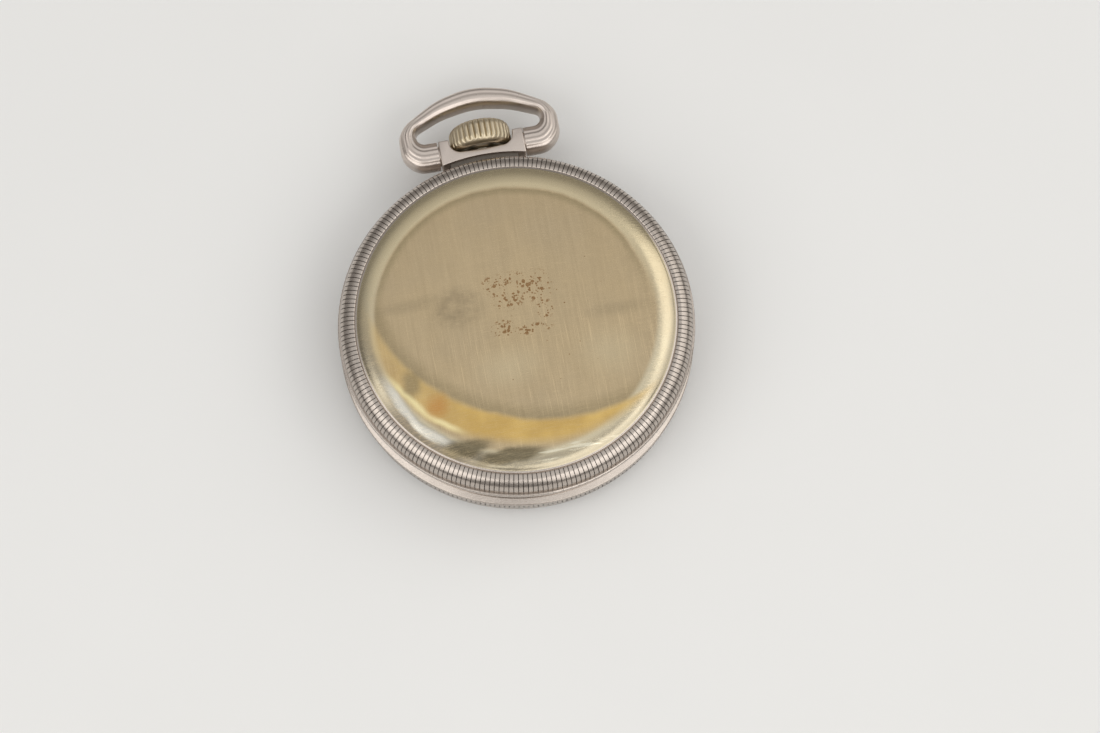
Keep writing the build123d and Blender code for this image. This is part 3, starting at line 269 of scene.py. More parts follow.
class DeckWatchBow(bpy.types.PropertyGroup):
    """Sizes of the bow and of the pendant between its ends."""

    hole_half_width: length("Half width of the bow's opening", 9.15)
    hole_low: length("Height of the opening's lower edge", 30.3)
    hole_corner: length("Height of the opening's upper corners", 32.35)
    hole_crest: length("Height of the opening's crest", 35.0)
    knuckle_half_width: length("Half width across the knuckles", 9.7)
    side_low: length("Foot of the straight sides", 28.3)
    side_high: length("Head of the straight sides", 31.9)
    ridges: count("Fine mouldings across a leg", 6)
    leg_ridge: length("Depth of the fine mouldings", 0.11)
    roll_groove: length("Depth of the groove between the bar's rolls", 0.09)
    stud_radius: length("Radius of the studs that it swings on", 1.5)
    stud_length: length("Length of the studs", 1.05)
    cut_half_width: length("Half width of the pendant's cut", 4.68)
    cut_floor: length("Height of the cut's floor", 27.6)
    cut_corner: length("Round of the cut's corners", 1.75)
    edge_round: length("Round of the pendant's edges", 0.16)
    neck_half_width: length("Half width of the pendant's neck", 5.0)
    neck_half_depth: length("Half depth of the pendant's neck", 1.8)
    neck_foot: length("Radius where the neck meets the case", 24.65)
    foot_radius: length("Radius of the pendant's foot", 26.6)


class DeckWatchDial(bpy.types.PropertyGroup):
    """Sizes of the print on the dial."""

    numeral_radius: length("Radius that the hour numerals stand on", 15.4)
    numeral_size: length("Height of the hour numerals", 4.2)
    track_radius: length("Outer radius of the minute track", 20.0)
    track_tick: length("Length of a minute's tick", 1.0)
    small_radius: length("Outer radius of the seconds track", 4.9)
    small_tick: length("Length of a second's tick", 0.5)
    small_sink: length("Depth of the sunk seconds", 0.1)
    line: length("Width of a printed line", 0.1)
    ink: length("Thickness of the print", 0.02)


class DeckWatchFinish(bpy.types.PropertyGroup):
    """Colours of the finishes."""

    back: colour("Back cover", (0.61, 0.475, 0.29))
    # Painted reflection: this golden colour is a warm reflection painted at the foot of the dome.
    roll: colour("Back cover's rolled shoulder", (0.68, 0.60, 0.43))
    # Painted reflection: the rolled shoulder's colour paints it paler than the dome.
    gold: colour("Golden patina at the foot of the dome", (0.80, 0.54, 0.17))
    rim: colour("Milled rims", (0.54, 0.48, 0.43))
    bow: colour("Bow and pendant", (0.65, 0.575, 0.52))
    # Painted shade: this dark colour on the pendant's neck stands in for the shadow in that recess.
    grime: colour("Dulled metal in corners", (0.16, 0.14, 0.12))
    crown: colour("Crown", (0.62, 0.53, 0.38))
    rust: colour("Rust spots", (0.20, 0.085, 0.012))
    stain: colour("Dark stain", (0.20, 0.165, 0.11))
    floor: colour("Floor", (0.86, 0.86, 0.85))


class DeckWatchView(bpy.types.PropertyGroup):
    """The camera's place and the lamps' strength."""

    azimuth: turn("Camera's azimuth", -10.5)
    elevation: turn("Camera's elevation", 72.4)
    distance: length("Camera's distance", 520.0)
    frame_width: length("Width that the camera sees", 157.0)
    aside: length("Watch's place left of the middle", 4.8)
    above: length("Watch's place above the middle", 6.65)
    lamp_distance: length("Lamps' distance", 900.0)
    lamp_strength: bpy.props.FloatProperty(
        name="Lamps' strength", description="Strength of the lamps", default=1.0,
    )


def settings(group):
    return getattr(bpy.context.scene, "deck_watch_" + group)


# Shader helpers

def node(near, kind, inputs=(), **options):
    """Adds a shader node to a tree, or to a socket's tree, and sets or links its inputs by name or number."""
    tree = near.id_data
    made = tree.nodes.new("ShaderNode" + kind)
    for key, value in options.items():
        setattr(made, key, value)
    for key, value in dict(inputs).items():
        if isinstance(value, bpy.types.NodeSocket):
            tree.links.new(value, made.inputs[key])
        else:
            made.inputs[key].default_value = value
    return made


def new_finish(name, **sockets):
    """A material with its shader, and object coordinates in millimetres."""
    finish = bpy.data.materials.new(name)
    finish.use_nodes = True
    tree = finish.node_tree
    tree.nodes.clear()
    shader = node(tree, "BsdfPrincipled", sockets)
    node(tree, "OutputMaterial", {"Surface": shader.outputs[0]})
    place = node(tree, "TexCoord")
    millimetres = node(tree, "Mapping", {"Vector": place.outputs["Object"], "Scale": (1 / MM,) * 3})
    return finish, shader, millimetres.outputs[0]


def ramp(factor, *stops):
    """A colour ramp between (place, grey or colour) stops."""
    made = node(factor, "ValToRGB", {"Fac": factor})
    elements = made.color_ramp.elements
    while len(elements) < len(stops):
        elements.new(0.5)
    for element, (place, value) in zip(elements, stops):
        element.position = place
        element.color = (*value, 1) if isinstance(value, tuple) else (value, value, value, 1)
    return made.outputs["Color"]


def noise(place, scale, detail=3.0, rough=0.55, stretch=(1, 1, 1), angle=0.0):
    """Noise, drawn out along one direction if wished."""
    turned = (0, 0, math.radians(angle))
    laid = node(place, "Mapping", {"Vector": place, "Scale": stretch, "Rotation": turned})
    sizes = {"Scale": scale, "Detail": detail, "Roughness": rough}
    return node(place, "TexNoise", {"Vector": laid.outputs[0], **sizes}).outputs[0]


def clouds(place, scale, detail, rough, start, end, **laid):
    """A mask of noise: none below its start, one above its end."""
    return ramp(noise(place, scale, detail, rough, **laid), (start, 0.0), (end, 1.0))


def between(value, least, most, start=0.0, end=1.0, **options):
    """Maps a value, from its start to its end, to the least and the most."""
    made = node(value, "MapRange", {
        "Value": value, "From Min": start, "From Max": end, "To Min": least, "To Max": most,
    }, **options)
    return made.outputs[0]


def socket_of(*values):
    """The first of the values that is a socket."""
    return next(value for value in values if isinstance(value, bpy.types.NodeSocket))


def maths(operation, *values):
    """One operation that takes the values in turn."""
    near = socket_of(*values)

    def step(first, second):
        return node(near, "Math", {0: first, 1: second}, operation=operation).outputs[0]

    return reduce(step, values)


def total(*values):
    return maths("ADD", *values)


def product(*factors):
    return maths("MULTIPLY", *factors)


def strongest(*masks):
    return maths("MAXIMUM", *masks)


def opposite(mask):
    return maths("SUBTRACT", 1.0, mask)


def blended(factor, first, second, blend_type="MIX"):
    """A mix of two colours."""
    values = [(*value, 1) if isinstance(value, tuple) else value for value in (factor, first, second)]
    made = node(
        socket_of(*values), "Mix", dict(zip((0, 6, 7), values)), data_type="RGBA", blend_type=blend_type,
    )
    return made.outputs[2]


def coated(tone, *coats):
    """Lays coats over a tone: each is a colour, then the factors of its strength."""
    for coat, *factors in coats:
        tone = blended(product(*factors), tone, coat)
    return tone


def toned(base, amount):
    """A colour times one amount, or times an amount for each of its parts."""
    amounts = amount if isinstance(amount, tuple) else (amount,) * 3
    return tuple(min(1, part * each) for part, each in zip(base, amounts))


def wire(shader, sockets):
    """Links sockets to a shader's inputs, by name."""
    for name, socket in sockets.items():
        shader.id_data.links.new(socket, shader.inputs[name])


def complete(shader, tone, rough, height, relief, depth=0.01):
    """Links a finish's colour, roughness and relief, with its depth in millimetres, to its shader."""
    bump = node(height, "Bump", {"Height": height, "Strength": relief, "Distance": depth * MM})
    wire(shader, {"Base Color": tone, "Roughness": rough, "Normal": bump.outputs[0]})


def dress(piece, finish):
    """Gives a piece, or a carried-over node, one finish."""
    piece.data.materials.clear()
    piece.data.materials.append(finish)


def settle(piece, body, slot, finish, *nodes):
    """Rides a finished piece on its body in place of its nodes."""
    dress(piece, finish)
    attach(piece, body)
    if nodes:
        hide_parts(*nodes)


# Plain finishes

def scratches(place):
    """Fine random scratches: noise drawn out in several directions, cut down to thin lines."""
    lines = None
    for angle in (12, 67, 118, 160):
        drawn = noise(place, 0.9, detail=2.0, stretch=(0.35, 9, 1), angle=angle)
        line = ramp(drawn, (0.60, 0.0), (0.625, 1.0), (0.65, 0.0))
        lines = line if lines is None else blended(1.0, lines, line, "LIGHTEN")
    return lines


def worn_metal(name, base, dark, rough, rough_swing, relief):
    """Polished metal with a mottled tone, fine scratches and a roughness that varies."""
    finish, shader, place = new_finish(name, Metallic=1.0)
    mottle = clouds(place, 0.22, 6.0, 0.6, 0.35, 0.72)
    lines = scratches(place)
    tone = coated(tuple(base), (toned(base, dark), mottle, 0.5), (toned(base, 1.3), lines, 0.18))
    fine = noise(place, 2.5, detail=5.0)
    uneven = between(fine, rough - rough_swing, rough + rough_swing)
    scratched = total(uneven, product(lines, 0.12))
    complete(shader, tone, scratched, blended(0.5, lines, fine), relief)
    return finish


def plain_metal(name, base, rough):
    return worn_metal(name, base, 0.85, rough, rough_swing=0.05, relief=0.06)


@cache
def nickel_finish(part):
    """The worn nickel of the rims, the bow or the crown, each in its own colour."""
    name, dark, rough, relief = {
        "rim": ("milled nickel", 0.8, 0.24, 0.12),
        "bow": ("worn nickel", 0.8, 0.30, 0.2),
        "crown": ("crown nickel", 0.75, 0.30, 0.2),
    }[part]
    return worn_metal(name, tuple(getattr(settings("finish"), part)), dark, rough, 0.08, relief)


def damascened(name, base):
    """Nickel plate with wide polished bands across it, each a little brighter or darker than the next."""
    finish, shader, place = new_finish(name, Metallic=1.0)
    bands = node(
        place, "TexWave", {"Vector": place, "Scale": 0.28}, bands_direction="DIAGONAL", wave_profile="SAW",
    ).outputs["Fac"]
    fine = noise(place, 3.0, detail=4.0, stretch=(6, 0.4, 1), angle=45)
    tone = coated(base, (toned(base, 0.62), bands, 0.8))
    rough = total(between(bands, 0.16, 0.34), product(fine, 0.08))
    complete(shader, tone, rough, fine, 0.1)
    return finish


def clear_glass():
    finish, shader, place = new_finish("crystal", Roughness=0.02, IOR=1.49)
    shader.inputs["Transmission Weight"].default_value = 1.0
    tone = ramp(noise(place, 0.05), (0.3, (0.93, 0.95, 0.95)), (0.7, (0.97, 0.98, 0.98)))
    wire(shader, {"Base Color": tone})
    return finish


def smooth_paint(name, base, rough):
    finish, shader, place = new_finish(name)
    tone = ramp(noise(place, 0.6, detail=4), (0.3, base), (0.7, toned(base, 0.94)))
    grain = noise(place, 8.0)
    complete(shader, tone, between(grain, rough * 0.8, rough * 1.2), grain, 0.05)
    return finish


# The back cover's finish, on coordinates in millimetres

def patches(place, inner, outer, *ovals):
    """Soft ovals of (centre, radii): one inside the inner share of their radii, none outside the outer."""
    made = []
    for centre, radii in ovals:
        laid = node(place, "Mapping", {
            "Vector": place,
            "Scale": (1 / radii[0], 1 / radii[1], 0),
            "Location": (-centre[0] / radii[0], -centre[1] / radii[1], 0),
        })
        away = node(place, "VectorMath", {0: laid.outputs[0]}, operation="LENGTH").outputs["Value"]
        made.append(between(away, 0.0, 1.0, outer, inner, interpolation_type="SMOOTHSTEP"))
    return strongest(*made)


def circle(x, y, radius):
    """An oval that is round."""
    return (x, y), (radius, radius)


SHADOW_ARC = circle(5.9, 11.4, 27.0)
GLOW_ARC = circle(2.4, 5.9, 24.9)


def band(place, oval, inner_edge, outer_edge):
    """A ring along an oval, between two soft edges."""
    hole = patches(place, *inner_edge, oval)
    return product(patches(place, *outer_edge, oval), opposite(hole))


def along(place, axis, start, end, least=0.0):
    """A mask that goes from its least to one between two places on an axis."""
    way = node(place, "SeparateXYZ", {0: place}).outputs[axis]
    return between(way, least, 1.0, start, end)


def moved(place, sideways, upward):
    """Coordinates shifted by two values."""
    shift = node(sideways, "CombineXYZ", {0: sideways, 1: upward}).outputs[0]
    return node(place, "VectorMath", {0: place, 1: shift}, operation="ADD").outputs[0]


def dots(place, scale, most):
    """Round dots of varied size, scattered and clumped by noise."""
    cells = node(place, "TexVoronoi", {"Vector": place, "Scale": scale, "Randomness": 1.0})
    size = between(noise(place, scale * 0.45, detail=2.0), 0.0, most, 0.38, 0.66)
    return maths("LESS_THAN", cells.outputs["Distance"], size)


def rust_spots(place):
    """Small brown spots, thick in a cluster near the middle of the back."""
    spots = strongest(dots(place, 1.5, 0.50), dots(place, 3.0, 0.52))
    cluster = patches(
        place, 0.75, 1.1,
        ((0.4, 4.6), (4.4, 2.2)), ((3.6, 3.9), (2.4, 2.6)), ((-0.6, 2.8), (2.6, 2.2)),
        ((-2.2, -1.6), (1.9, 1.4)), ((2.0, -2.4), (3.0, 0.9)), ((4.2, 0.3), (1.3, 1.6)),
        ((-2.6, 5.2), (1.6, 1.2)),
    )
    around = patches(place, 0.8, 1.0, ((1.0, 0.0), (14.0, 13.0)))
    strays = product(dots(place, 0.8, 0.10), around)
    return strongest(product(spots, cluster), strays)


def yellowed(place, base):
    """The plate itself, with clouds, brushing and fine lines in its tone."""
    return coated(
        base,
        (toned(base, (0.80, 0.84, 0.95)), clouds(place, 0.10, 5.0, 0.55, 0.3, 0.75), 0.5),
        (toned(base, 0.80), clouds(place, 0.45, 8.0, 0.65, 0.3, 0.75, stretch=(1, 0.5, 1), angle=20), 0.35),
        (toned(base, 0.66), clouds(place, 0.8, 6.0, 0.7, 0.35, 0.75, stretch=(3.0, 0.12, 1), angle=6), 0.42),
        (toned(base, 1.45), clouds(place, 2.2, 3.0, 0.5, 0.58, 0.68, stretch=(4.0, 0.06, 1), angle=4),
         along(place, "Y", 6.0, -4.0), 0.45),
    )


def golden_foot(tone, place, bent, dome, colours):
    """The rolled shoulder, painted paler towards the bottom as a painted reflection, and the golden crescent
    inside it, a painted warm reflection, with its painted dark edge and a painted highlight along its outer
    arc.
    """
    beyond = opposite(patches(bent, 0.985, 1.025, SHADOW_ARC))
    gold = product(beyond, patches(bent, 0.94, 1.02, GLOW_ARC), along(place, "X", -21.0, -9.0, 0.35))
    edge = band(bent, SHADOW_ARC, (0.90, 0.99), (0.985, 1.025))
    painted_highlight_streak = band(bent, GLOW_ARC, (0.94, 0.975), (0.97, 1.005))
    amber = coated(tuple(colours.gold), ((0.66, 0.43, 0.13), clouds(place, 0.22, 3.0, 0.4, 0.42, 0.62)))
    return coated(
        tone,
        # Painted reflection: the rolled shoulder is painted paler, more so towards the bottom.
        (tuple(colours.roll), opposite(dome), along(place, "Y", 17.0, -8.0, 0.12)),
        # Painted shade: a dark edge painted along the golden crescent's inner arc.
        ((0.24, 0.19, 0.10), edge, dome, 0.42),
        # Painted reflection: the golden crescent, with its cloudy amber tone, is a warm reflection painted
        # into the colour.
        (amber, gold, 0.88),
        # Painted highlight: a bright line along the golden crescent's outer arc, at the lower left.
        ((1.0, 0.86, 0.47), painted_highlight_streak, patches(bent, 0.5, 1.0, ((-15.0, -11.0), (7.5, 9.0))), 0.95),
    )


def worn_edge(tone, place, bent, rippled, dome):
    """Painted light round the dome: a painted dark reflection round its edge, a painted highlight crescent, a
    painted shadow line at the crease, a painted lighter top to the shoulder, painted dark patches and painted
    glints.
    """
    crease = circle(0, 0.2, 19.9)
    round_edge = patches(bent, 0.975, 1.02, circle(1.2, 1.3, 21.7))
    painted_dark_reflection = product(opposite(round_edge), opposite(dome))
    painted_highlight_inside = patches(bent, 0.97, 1.01, circle(0, 0, 20.1))
    painted_highlight_outside = patches(bent, 0.97, 1.01, circle(0, 0, 21.2))
    upper = along(place, "Y", -2.0, 10.0)
    painted_top_light = opposite(patches(bent, 0.99, 1.02, crease))
    painted_dark_patches = patches(rippled, 0.5, 1.1, ((-9.6, -17.0), (4.2, 1.6)), ((-3.4, -19.2), (5.8, 1.3)))
    glints = clouds(place, 0.5, 5.0, 0.6, 0.5, 0.62, stretch=(0.35, 3.0, 1), angle=-8)
    return coated(
        tone,
        # Painted reflection: the shoulder next to the rim is painted darker all round.
        ((0.31, 0.275, 0.21), painted_dark_reflection, 0.62),
        # Painted reflection: a darker patch of it is painted at the lower left.
        ((0.13, 0.11, 0.085), painted_dark_reflection, patches(bent, 0.4, 1.0, circle(-14.5, -15.0, 11.0)), 0.9),
        # Painted highlight: a pale crescent painted on the shoulder at the lower left.
        ((0.93, 0.90, 0.80), painted_highlight_outside, opposite(painted_highlight_inside),
         patches(bent, 0.45, 1.0, circle(-16.4, -12.0, 9.0)), 0.8),
        # Painted shadow: a dark line painted at the crease, on the upper half only.
        ((0.30, 0.25, 0.14), band(bent, crease, (0.93, 0.985), (0.985, 1.0)), upper, 0.5),
        # Painted light: the shoulder outside the crease is painted lighter on the upper half.
        ((0.80, 0.70, 0.47), painted_top_light, upper, 0.7),
        # Painted reflection: dark patches painted on the lower shoulder.
        ((0.17, 0.14, 0.085), painted_dark_patches, 0.9),
        ((0.93, 0.88, 0.70), glints, patches(bent, 0.5, 1.1, ((6.0, -20.4), (9.0, 1.6))), 0.7),
    )


@cache
def back_finish():
    """Polished nickel that has yellowed, with a painted golden reflection, painted highlights and painted
    dark reflections round its dome, rust spots and a stain.
    """
    colours = settings("finish")
    finish, shader, place = new_finish("yellowed nickel", Metallic=1.0)
    base = tuple(colours.back)
    drift = noise(place, 0.13)
    bent = moved(place, drift, drift)
    rippled = moved(bent, noise(place, 0.5, detail=4.0), noise(place, 0.45, detail=4.0, angle=50))
    dome = patches(place, 0.975, 1.02, circle(0, 0, settings("case").crease_radius / MM))
    tone = yellowed(place, base)
    tone = golden_foot(tone, place, bent, dome, colours)
    tone = worn_edge(tone, place, bent, rippled, dome)

    # Painted light: lighter clouds painted on the lower dome.
    pale = patches(bent, 0.0, 1.1, ((-2.0, -6.9), (6.5, 4.0)), ((12.5, -7.0), (5.5, 5.0)))
    cloudy = ramp(noise(place, 0.55, 5.0, 0.6), (0.36, 0.25), (0.62, 1.0))
    smudge = product(patches(rippled, 0.45, 1.15, ((-7.0, 3.6), (4.1, 3.5))), cloudy)
    streaks = patches(bent, 0.0, 1.1, ((-14.0, 4.6), (8.5, 1.5)), ((15.0, -1.0), (6.5, 1.4)))
    stain = strongest(product(smudge, 0.40), product(streaks, 0.24))
    spots = rust_spots(place)
    lines = scratches(place)
    tone = coated(
        tone,
        # Painted shade: a dark patch painted inside the dome at the lower left.
        ((0.23, 0.195, 0.13), patches(rippled, 0.3, 1.1, ((-15.4, -6.4), (1.9, 2.6))), dome, 0.62),
        ((0.60, 0.30, 0.09), patches(rippled, 0.1, 1.1, ((-12.3, -10.2), (2.3, 2.1))), 0.8),
        # Painted light: the lighter clouds, inside the dome and the golden reflection's arc.
        ((0.72, 0.63, 0.43), pale, dome, patches(bent, 0.985, 1.025, SHADOW_ARC), 0.30),
        (tuple(colours.stain), stain, dome),
        (tuple(colours.rust), spots, 0.85),
        (toned(base, 1.4), lines, 0.24),
    )
    wire(shader, {"Metallic": opposite(product(spots, 0.7))})
    rough = total(
        between(noise(place, 2.5, detail=6.0), 0.15, 0.23, 0.3, 0.7),
        product(lines, 0.1), product(strongest(spots, smudge), 0.2),
    )
    waves = noise(place, 0.16, detail=2.0)
    height = total(product(lines, -0.25), product(waves, 2.5))
    complete(shader, tone, rough, height, 0.35, depth=0.012)
    return finish


# Turned and milled pieces: their axes, a quarter just short of flat, a rim's fine line and its broken edge

WATCH_AXIS = ((0, 0, 0), (0, 0, 1))
STEM_AXIS = ((0, 0, STEM_HEIGHT), (0, 1, 0))
QUARTER_ANGLE = 86
LINE_WIDTH = 0.07 * MM
LINE_DEPTH = 0.12 * MM
LINE_LIP = 0.04 * MM
EDGE_ROUND = 0.15 * MM
EDGE_HEIGHT = 0.12 * MM


def milled_piece(name, profile, bead, side, case, columns=6):
    """A turned piece whose rim is milled: one ridge's slice is spun, cut, then copied all round.

    The profile's points are (radius, height). The bead is (inner radius, outer radius, height of its foot),
    and the side is the height where the milling ends.
    """
    pitch = FULL_TURN / case.ridges
    inner, outer, foot = bead
    beadward = math.copysign(1, foot - side)
    piece = draw_chain(name, [Vector((radius, 0, height)) for radius, height in profile])
    spin_slice(columns, pitch, *WATCH_AXIS)
    for part in shares(columns):
        cut = case.ridge_depth * (1 - math.sqrt(1 - (2 * part - 1) ** 2))
        out = Vector((math.cos(pitch * part), math.sin(pitch * part), 0))

        def in_column(vertex):
            near = vertex.co.xy.angle(out.xy, FULL_TURN) < pitch / columns / 3
            return near and vertex.co.xy.length > inner + TIGHT

        def on_bead(vertex):
            return in_column(vertex) and (vertex.co.z - foot) * beadward > TIGHT

        def on_side(vertex):
            beside = (vertex.co.z - foot) * beadward <= TIGHT
            return in_column(vertex) and beside and vertex.co.xy.length > outer - TIGHT

        if cut > TIGHT:
            select(piece, on_bead)
            keep = 1 - cut / (outer - inner)
            bpy.ops.transform.resize(value=(keep,) * 3, center_override=out * inner + UP * foot)
            select(piece, on_side)
            keep = 1 - cut / outer
            bpy.ops.transform.resize(value=(keep, keep, 1), center_override=(0, 0, foot))
    copy_slice(case.ridges, pitch, *WATCH_AXIS)
    close_up(piece)
    return piece


def rolled(start, end, slope, steps, fullness=0.9):
    """A shoulder of (radius, height) points that starts at a slope and rolls over to its end."""
    width = end[0] - start[0]
    straight = width * math.tan(slope)
    drop = start[1] - end[1] - straight
    whole = 1 - math.sqrt(1 - fullness)
    points = []
    for part in shares(steps):
        over = (1 - math.sqrt(1 - fullness * part ** 2)) / whole
        points.append((start[0] + width * part, start[1] - straight * part - drop * over))
    return points


def rim_profile(case, rim, crest, foot, seat):
    """A milled rim from the fine line beside its crest, over its bead, to the broken edge at its seat."""
    side = math.copysign(1, crest - foot)
    line = [
        (case.crest_radius - 2 * LINE_WIDTH, crest + LINE_LIP * side),
        (case.crest_radius - LINE_WIDTH, crest - LINE_DEPTH * side),
        (case.crest_radius, crest - LINE_DEPTH / 2 * side),
    ]
    radii = (rim - case.crest_radius, crest - foot)
    bead = quarter((case.crest_radius, foot), QUARTER_ANGLE, 0, radii, steps=8)
    edge = [(rim, seat + 2 * EDGE_ROUND * side), (rim, seat + EDGE_HEIGHT * side), (rim - EDGE_ROUND, seat)]
    return joined(line, bead, edge)


def rim_faces(piece, radius):
    """Gives the faces outside a radius the rim's finish."""
    piece.data.materials.append(nickel_finish("rim"))
    for face in piece.data.polygons:
        face.material_index = int(face.center.xy.length > radius)


class DECKWATCH_OT_back(bpy.types.Operator):
    """Turns the back cover: dome, rolled shoulder, step and milled rim."""

    bl_idname = "deck_watch.back"
    bl_label = "Back cover"

    def execute(self, context):
        case = settings("case")
        top = high("back_cover").z
        seat = low("back_cover").z
        rim = high("back_cover").x
        step = (case.step_radius, top - case.step_drop)
        crease = (case.crease_radius, top - case.crease_drop)
        crest = step[1] - case.back_crest
        foot = seat + case.back_side
        rim_start = 0.04 * MM
        step_width = 0.1 * MM
        step_fall = 0.01 * MM
        dome = [(crease[0] * part, top - case.crease_drop * part ** 4) for part in shares(steps=11)]
        roll = rolled(crease, step, case.crease_slope, steps=12)
        roll.append((step[0] + step_width, step[1] - step_fall))
        ceiling = top - case.wall
        ceiling_fall = 0.06 * MM
        inside = [
            (case.thread_radius, seat),
            (case.thread_radius, seat + case.cover_floor),
            (step[0] - case.wall, seat + case.cover_floor),
            (crease[0], crease[1] - case.wall),
            (crease[0] / 2, ceiling - ceiling_fall),
            (0, ceiling),
        ]
        profile = joined(dome, roll, rim_profile(case, rim, crest, foot, seat), inside)
        piece = milled_piece("back_shell", profile, (case.crest_radius, rim, foot), seat, case)
        settle(piece, "back", "case_back", back_finish(), "back_cover")
        rim_faces(piece, case.step_radius + rim_start)
        return {"FINISHED"}


class DECKWATCH_OT_bezel(bpy.types.Operator):
    """Turns the bezel that holds the crystal, with its milled rim."""

    bl_idname = "deck_watch.bezel"
    bl_label = "Bezel"

    def execute(self, context):
        case = settings("case")
        face = low("bezel").z
        seat = high("bezel").z
        rim = high("bezel").x
        crest = face + case.bezel_crest
        foot = face + case.bezel_side
        room = 0.04 * MM
        mouth_slope = 0.1 * MM
        groove_radius = high("crystal").x + room
        groove_low = face + case.crystal_depth
        groove_high = high("crystal").z + room
        shelf_gap = 0.05 * MM
        shelf = low("case_middle").z - shelf_gap
        outside = rim_profile(case, rim, crest, foot, seat)[::-1]
        step = (case.step_radius, crest - LINE_DEPTH / 2)
        roll = arc(step, (case.lip_radius, face), -case.lip_bulge, steps=7)
        inside = [
            (case.mouth_radius, face),
            (case.throat_radius, face + mouth_slope),
            (case.throat_radius, groove_low),
            (groove_radius, groove_low),
            (groove_radius, groove_high),
            (case.ledge_radius, groove_high),
            (case.ledge_radius, shelf),
            (case.thread_radius, shelf),
            (case.thread_radius, seat),
            outside[0],
        ]
        profile = joined(outside, roll, inside)
        piece = milled_piece("bezel_ring", profile, (case.crest_radius, rim, foot), seat, case)
        settle(piece, "front", "case_rim", nickel_finish("rim"), "bezel")
        return {"FINISHED"}


class DECKWATCH_OT_crown(bpy.types.Operator):
    """Turns the crown and cuts its flutes."""

    bl_idname = "deck_watch.crown"
    bl_label = "Crown"

    def execute(self, context):
        crown = settings("crown")
        foot = low("crown").y
        top = high("crown").y
        radius = high("crown").x
        under = crown.foot_round
        rounding = crown.end_round
        inner = radius - rounding
        shoulder = top - crown.top_bulge
        sole = foot + crown.boss_height
        boss_slope = 0.1 * MM
        fade_length = 0.35 * MM
        end_fade = 6
        columns = 8
        pitch = FULL_TURN / crown.flutes
        profile = joined(
            [(0, foot), (crown.boss_radius, foot), (crown.boss_radius + boss_slope, sole)],
            [(radius - under, sole)],
            quarter((radius - under, foot + under), -QUARTER_ANGLE, 0, (under, under), steps=12),
            quarter((inner, shoulder - rounding), 0, QUARTER_ANGLE, (rounding, rounding), steps=8),
            arc((inner, shoulder), (0, top), 0.0, steps=5),
        )
        piece = draw_chain("winding_crown", [Vector((x, y, STEM_HEIGHT)) for x, y in profile])
        spin_slice(columns, pitch, *STEM_AXIS)
        middle = (foot + top) / 2
        reach = (top - foot) / 2
        mesh = bmesh.from_edit_mesh(piece.data)
        for vertex in mesh.verts:
            out = Vector((vertex.co.x, 0, vertex.co.z - STEM_HEIGHT))
            around = abs(math.atan2(out.z, out.x)) % pitch / pitch
            fade = max(0, 1 - max(0, (vertex.co.y - middle) / reach) ** end_fade)
            fade *= max(0, min(1, (vertex.co.y - foot - crown.smooth_foot) / fade_length))
            hollow = 1 - math.sqrt(max(0, 1 - (2 * around - 1) ** 2))
            if out.length > radius - under:
                vertex.co -= out.normalized() * crown.flute_depth * hollow * fade
        bmesh.update_edit_mesh(piece.data)
        copy_slice(crown.flutes, pitch, *STEM_AXIS)
        close_up(piece, smooth_angle=50)
        settle(piece, "crown", "crown_metal", nickel_finish("crown"), "crown")
        return {"FINISHED"}


# The bow and the pendant

def rounded_outline(corners, steps=10):
    """Points along an open outline of (place, round) corners, with each corner rounded by a true arc."""
    points = [Vector(corners[0][0])]
    for before, (corner, size), after in zip(corners, corners[1:], corners[2:]):
        corner = Vector(corner)
        back = (Vector(before[0]) - corner).normalized()
        ahead = (Vector(after[0]) - corner).normalized()
        half = back.angle(ahead) / 2
        setback = size / math.tan(half)
        centre = corner + (back + ahead).normalized() * size / math.sin(half)
        first = corner + back * setback - centre
        swing = first.angle_signed(corner + ahead * setback - centre)
        points += [centre + Matrix.Rotation(-swing * part, 2) @ first for part in shares(steps)]
    points.append(Vector(corners[-1][0]))
    return points


def bow_outlines(bow, face):
    """The outer and the inner outline of the bow's right half, each a little past the middle."""
    crest = high("bow").y
    floor = low("bow").y
    reach = high("bow").x
    peak = 0.38 * MM
    knuckle_round = 3 * MM
    side_round = 2.5 * MM
    shoulder = (10.6 * MM, 33.6 * MM)
    shoulder_round = 3.5 * MM
    brow_width = 5.5 * MM
    brow_height = 36.6 * MM
    brow_round = 12 * MM
    hole_round = 1.2 * MM
    hole_corner_round = 1.1 * MM
    lintel_width = 5 * MM
    lintel_height = 34.1 * MM
    outer = rounded_outline([
        ((face, floor), 0), ((bow.knuckle_half_width, floor), knuckle_round),
        ((reach, bow.side_low), knuckle_round), ((reach, bow.side_high), side_round),
        (shoulder, shoulder_round), ((brow_width, brow_height), brow_round),
        ((0, crest + peak), brow_round), ((-brow_width, brow_height), 0),
    ])
    inner = rounded_outline([
        ((face, bow.hole_low), 0), ((bow.hole_half_width, bow.hole_low), hole_round),
        ((bow.hole_half_width, bow.hole_corner), hole_corner_round),
        ((lintel_width, lintel_height), brow_round),
        ((0, bow.hole_crest), brow_round), ((-lintel_width, lintel_height), 0),
    ])
    return outer, inner


def crossing(origin, direction, outline, parallel=1e-15, slack=1e-6):
    """The distance from an origin, along a direction, to an outline."""
    best = None
    for start, end in zip(outline, outline[1:]):
        edge = end - start
        across = direction.cross(edge)
        if abs(across) < parallel:
            continue
        offset = start - origin
        distance = offset.cross(edge) / across
        place = offset.cross(direction) / across
        if distance > 0 and -slack <= place <= 1 + slack and (best is None or distance < best):
            best = distance
    return best


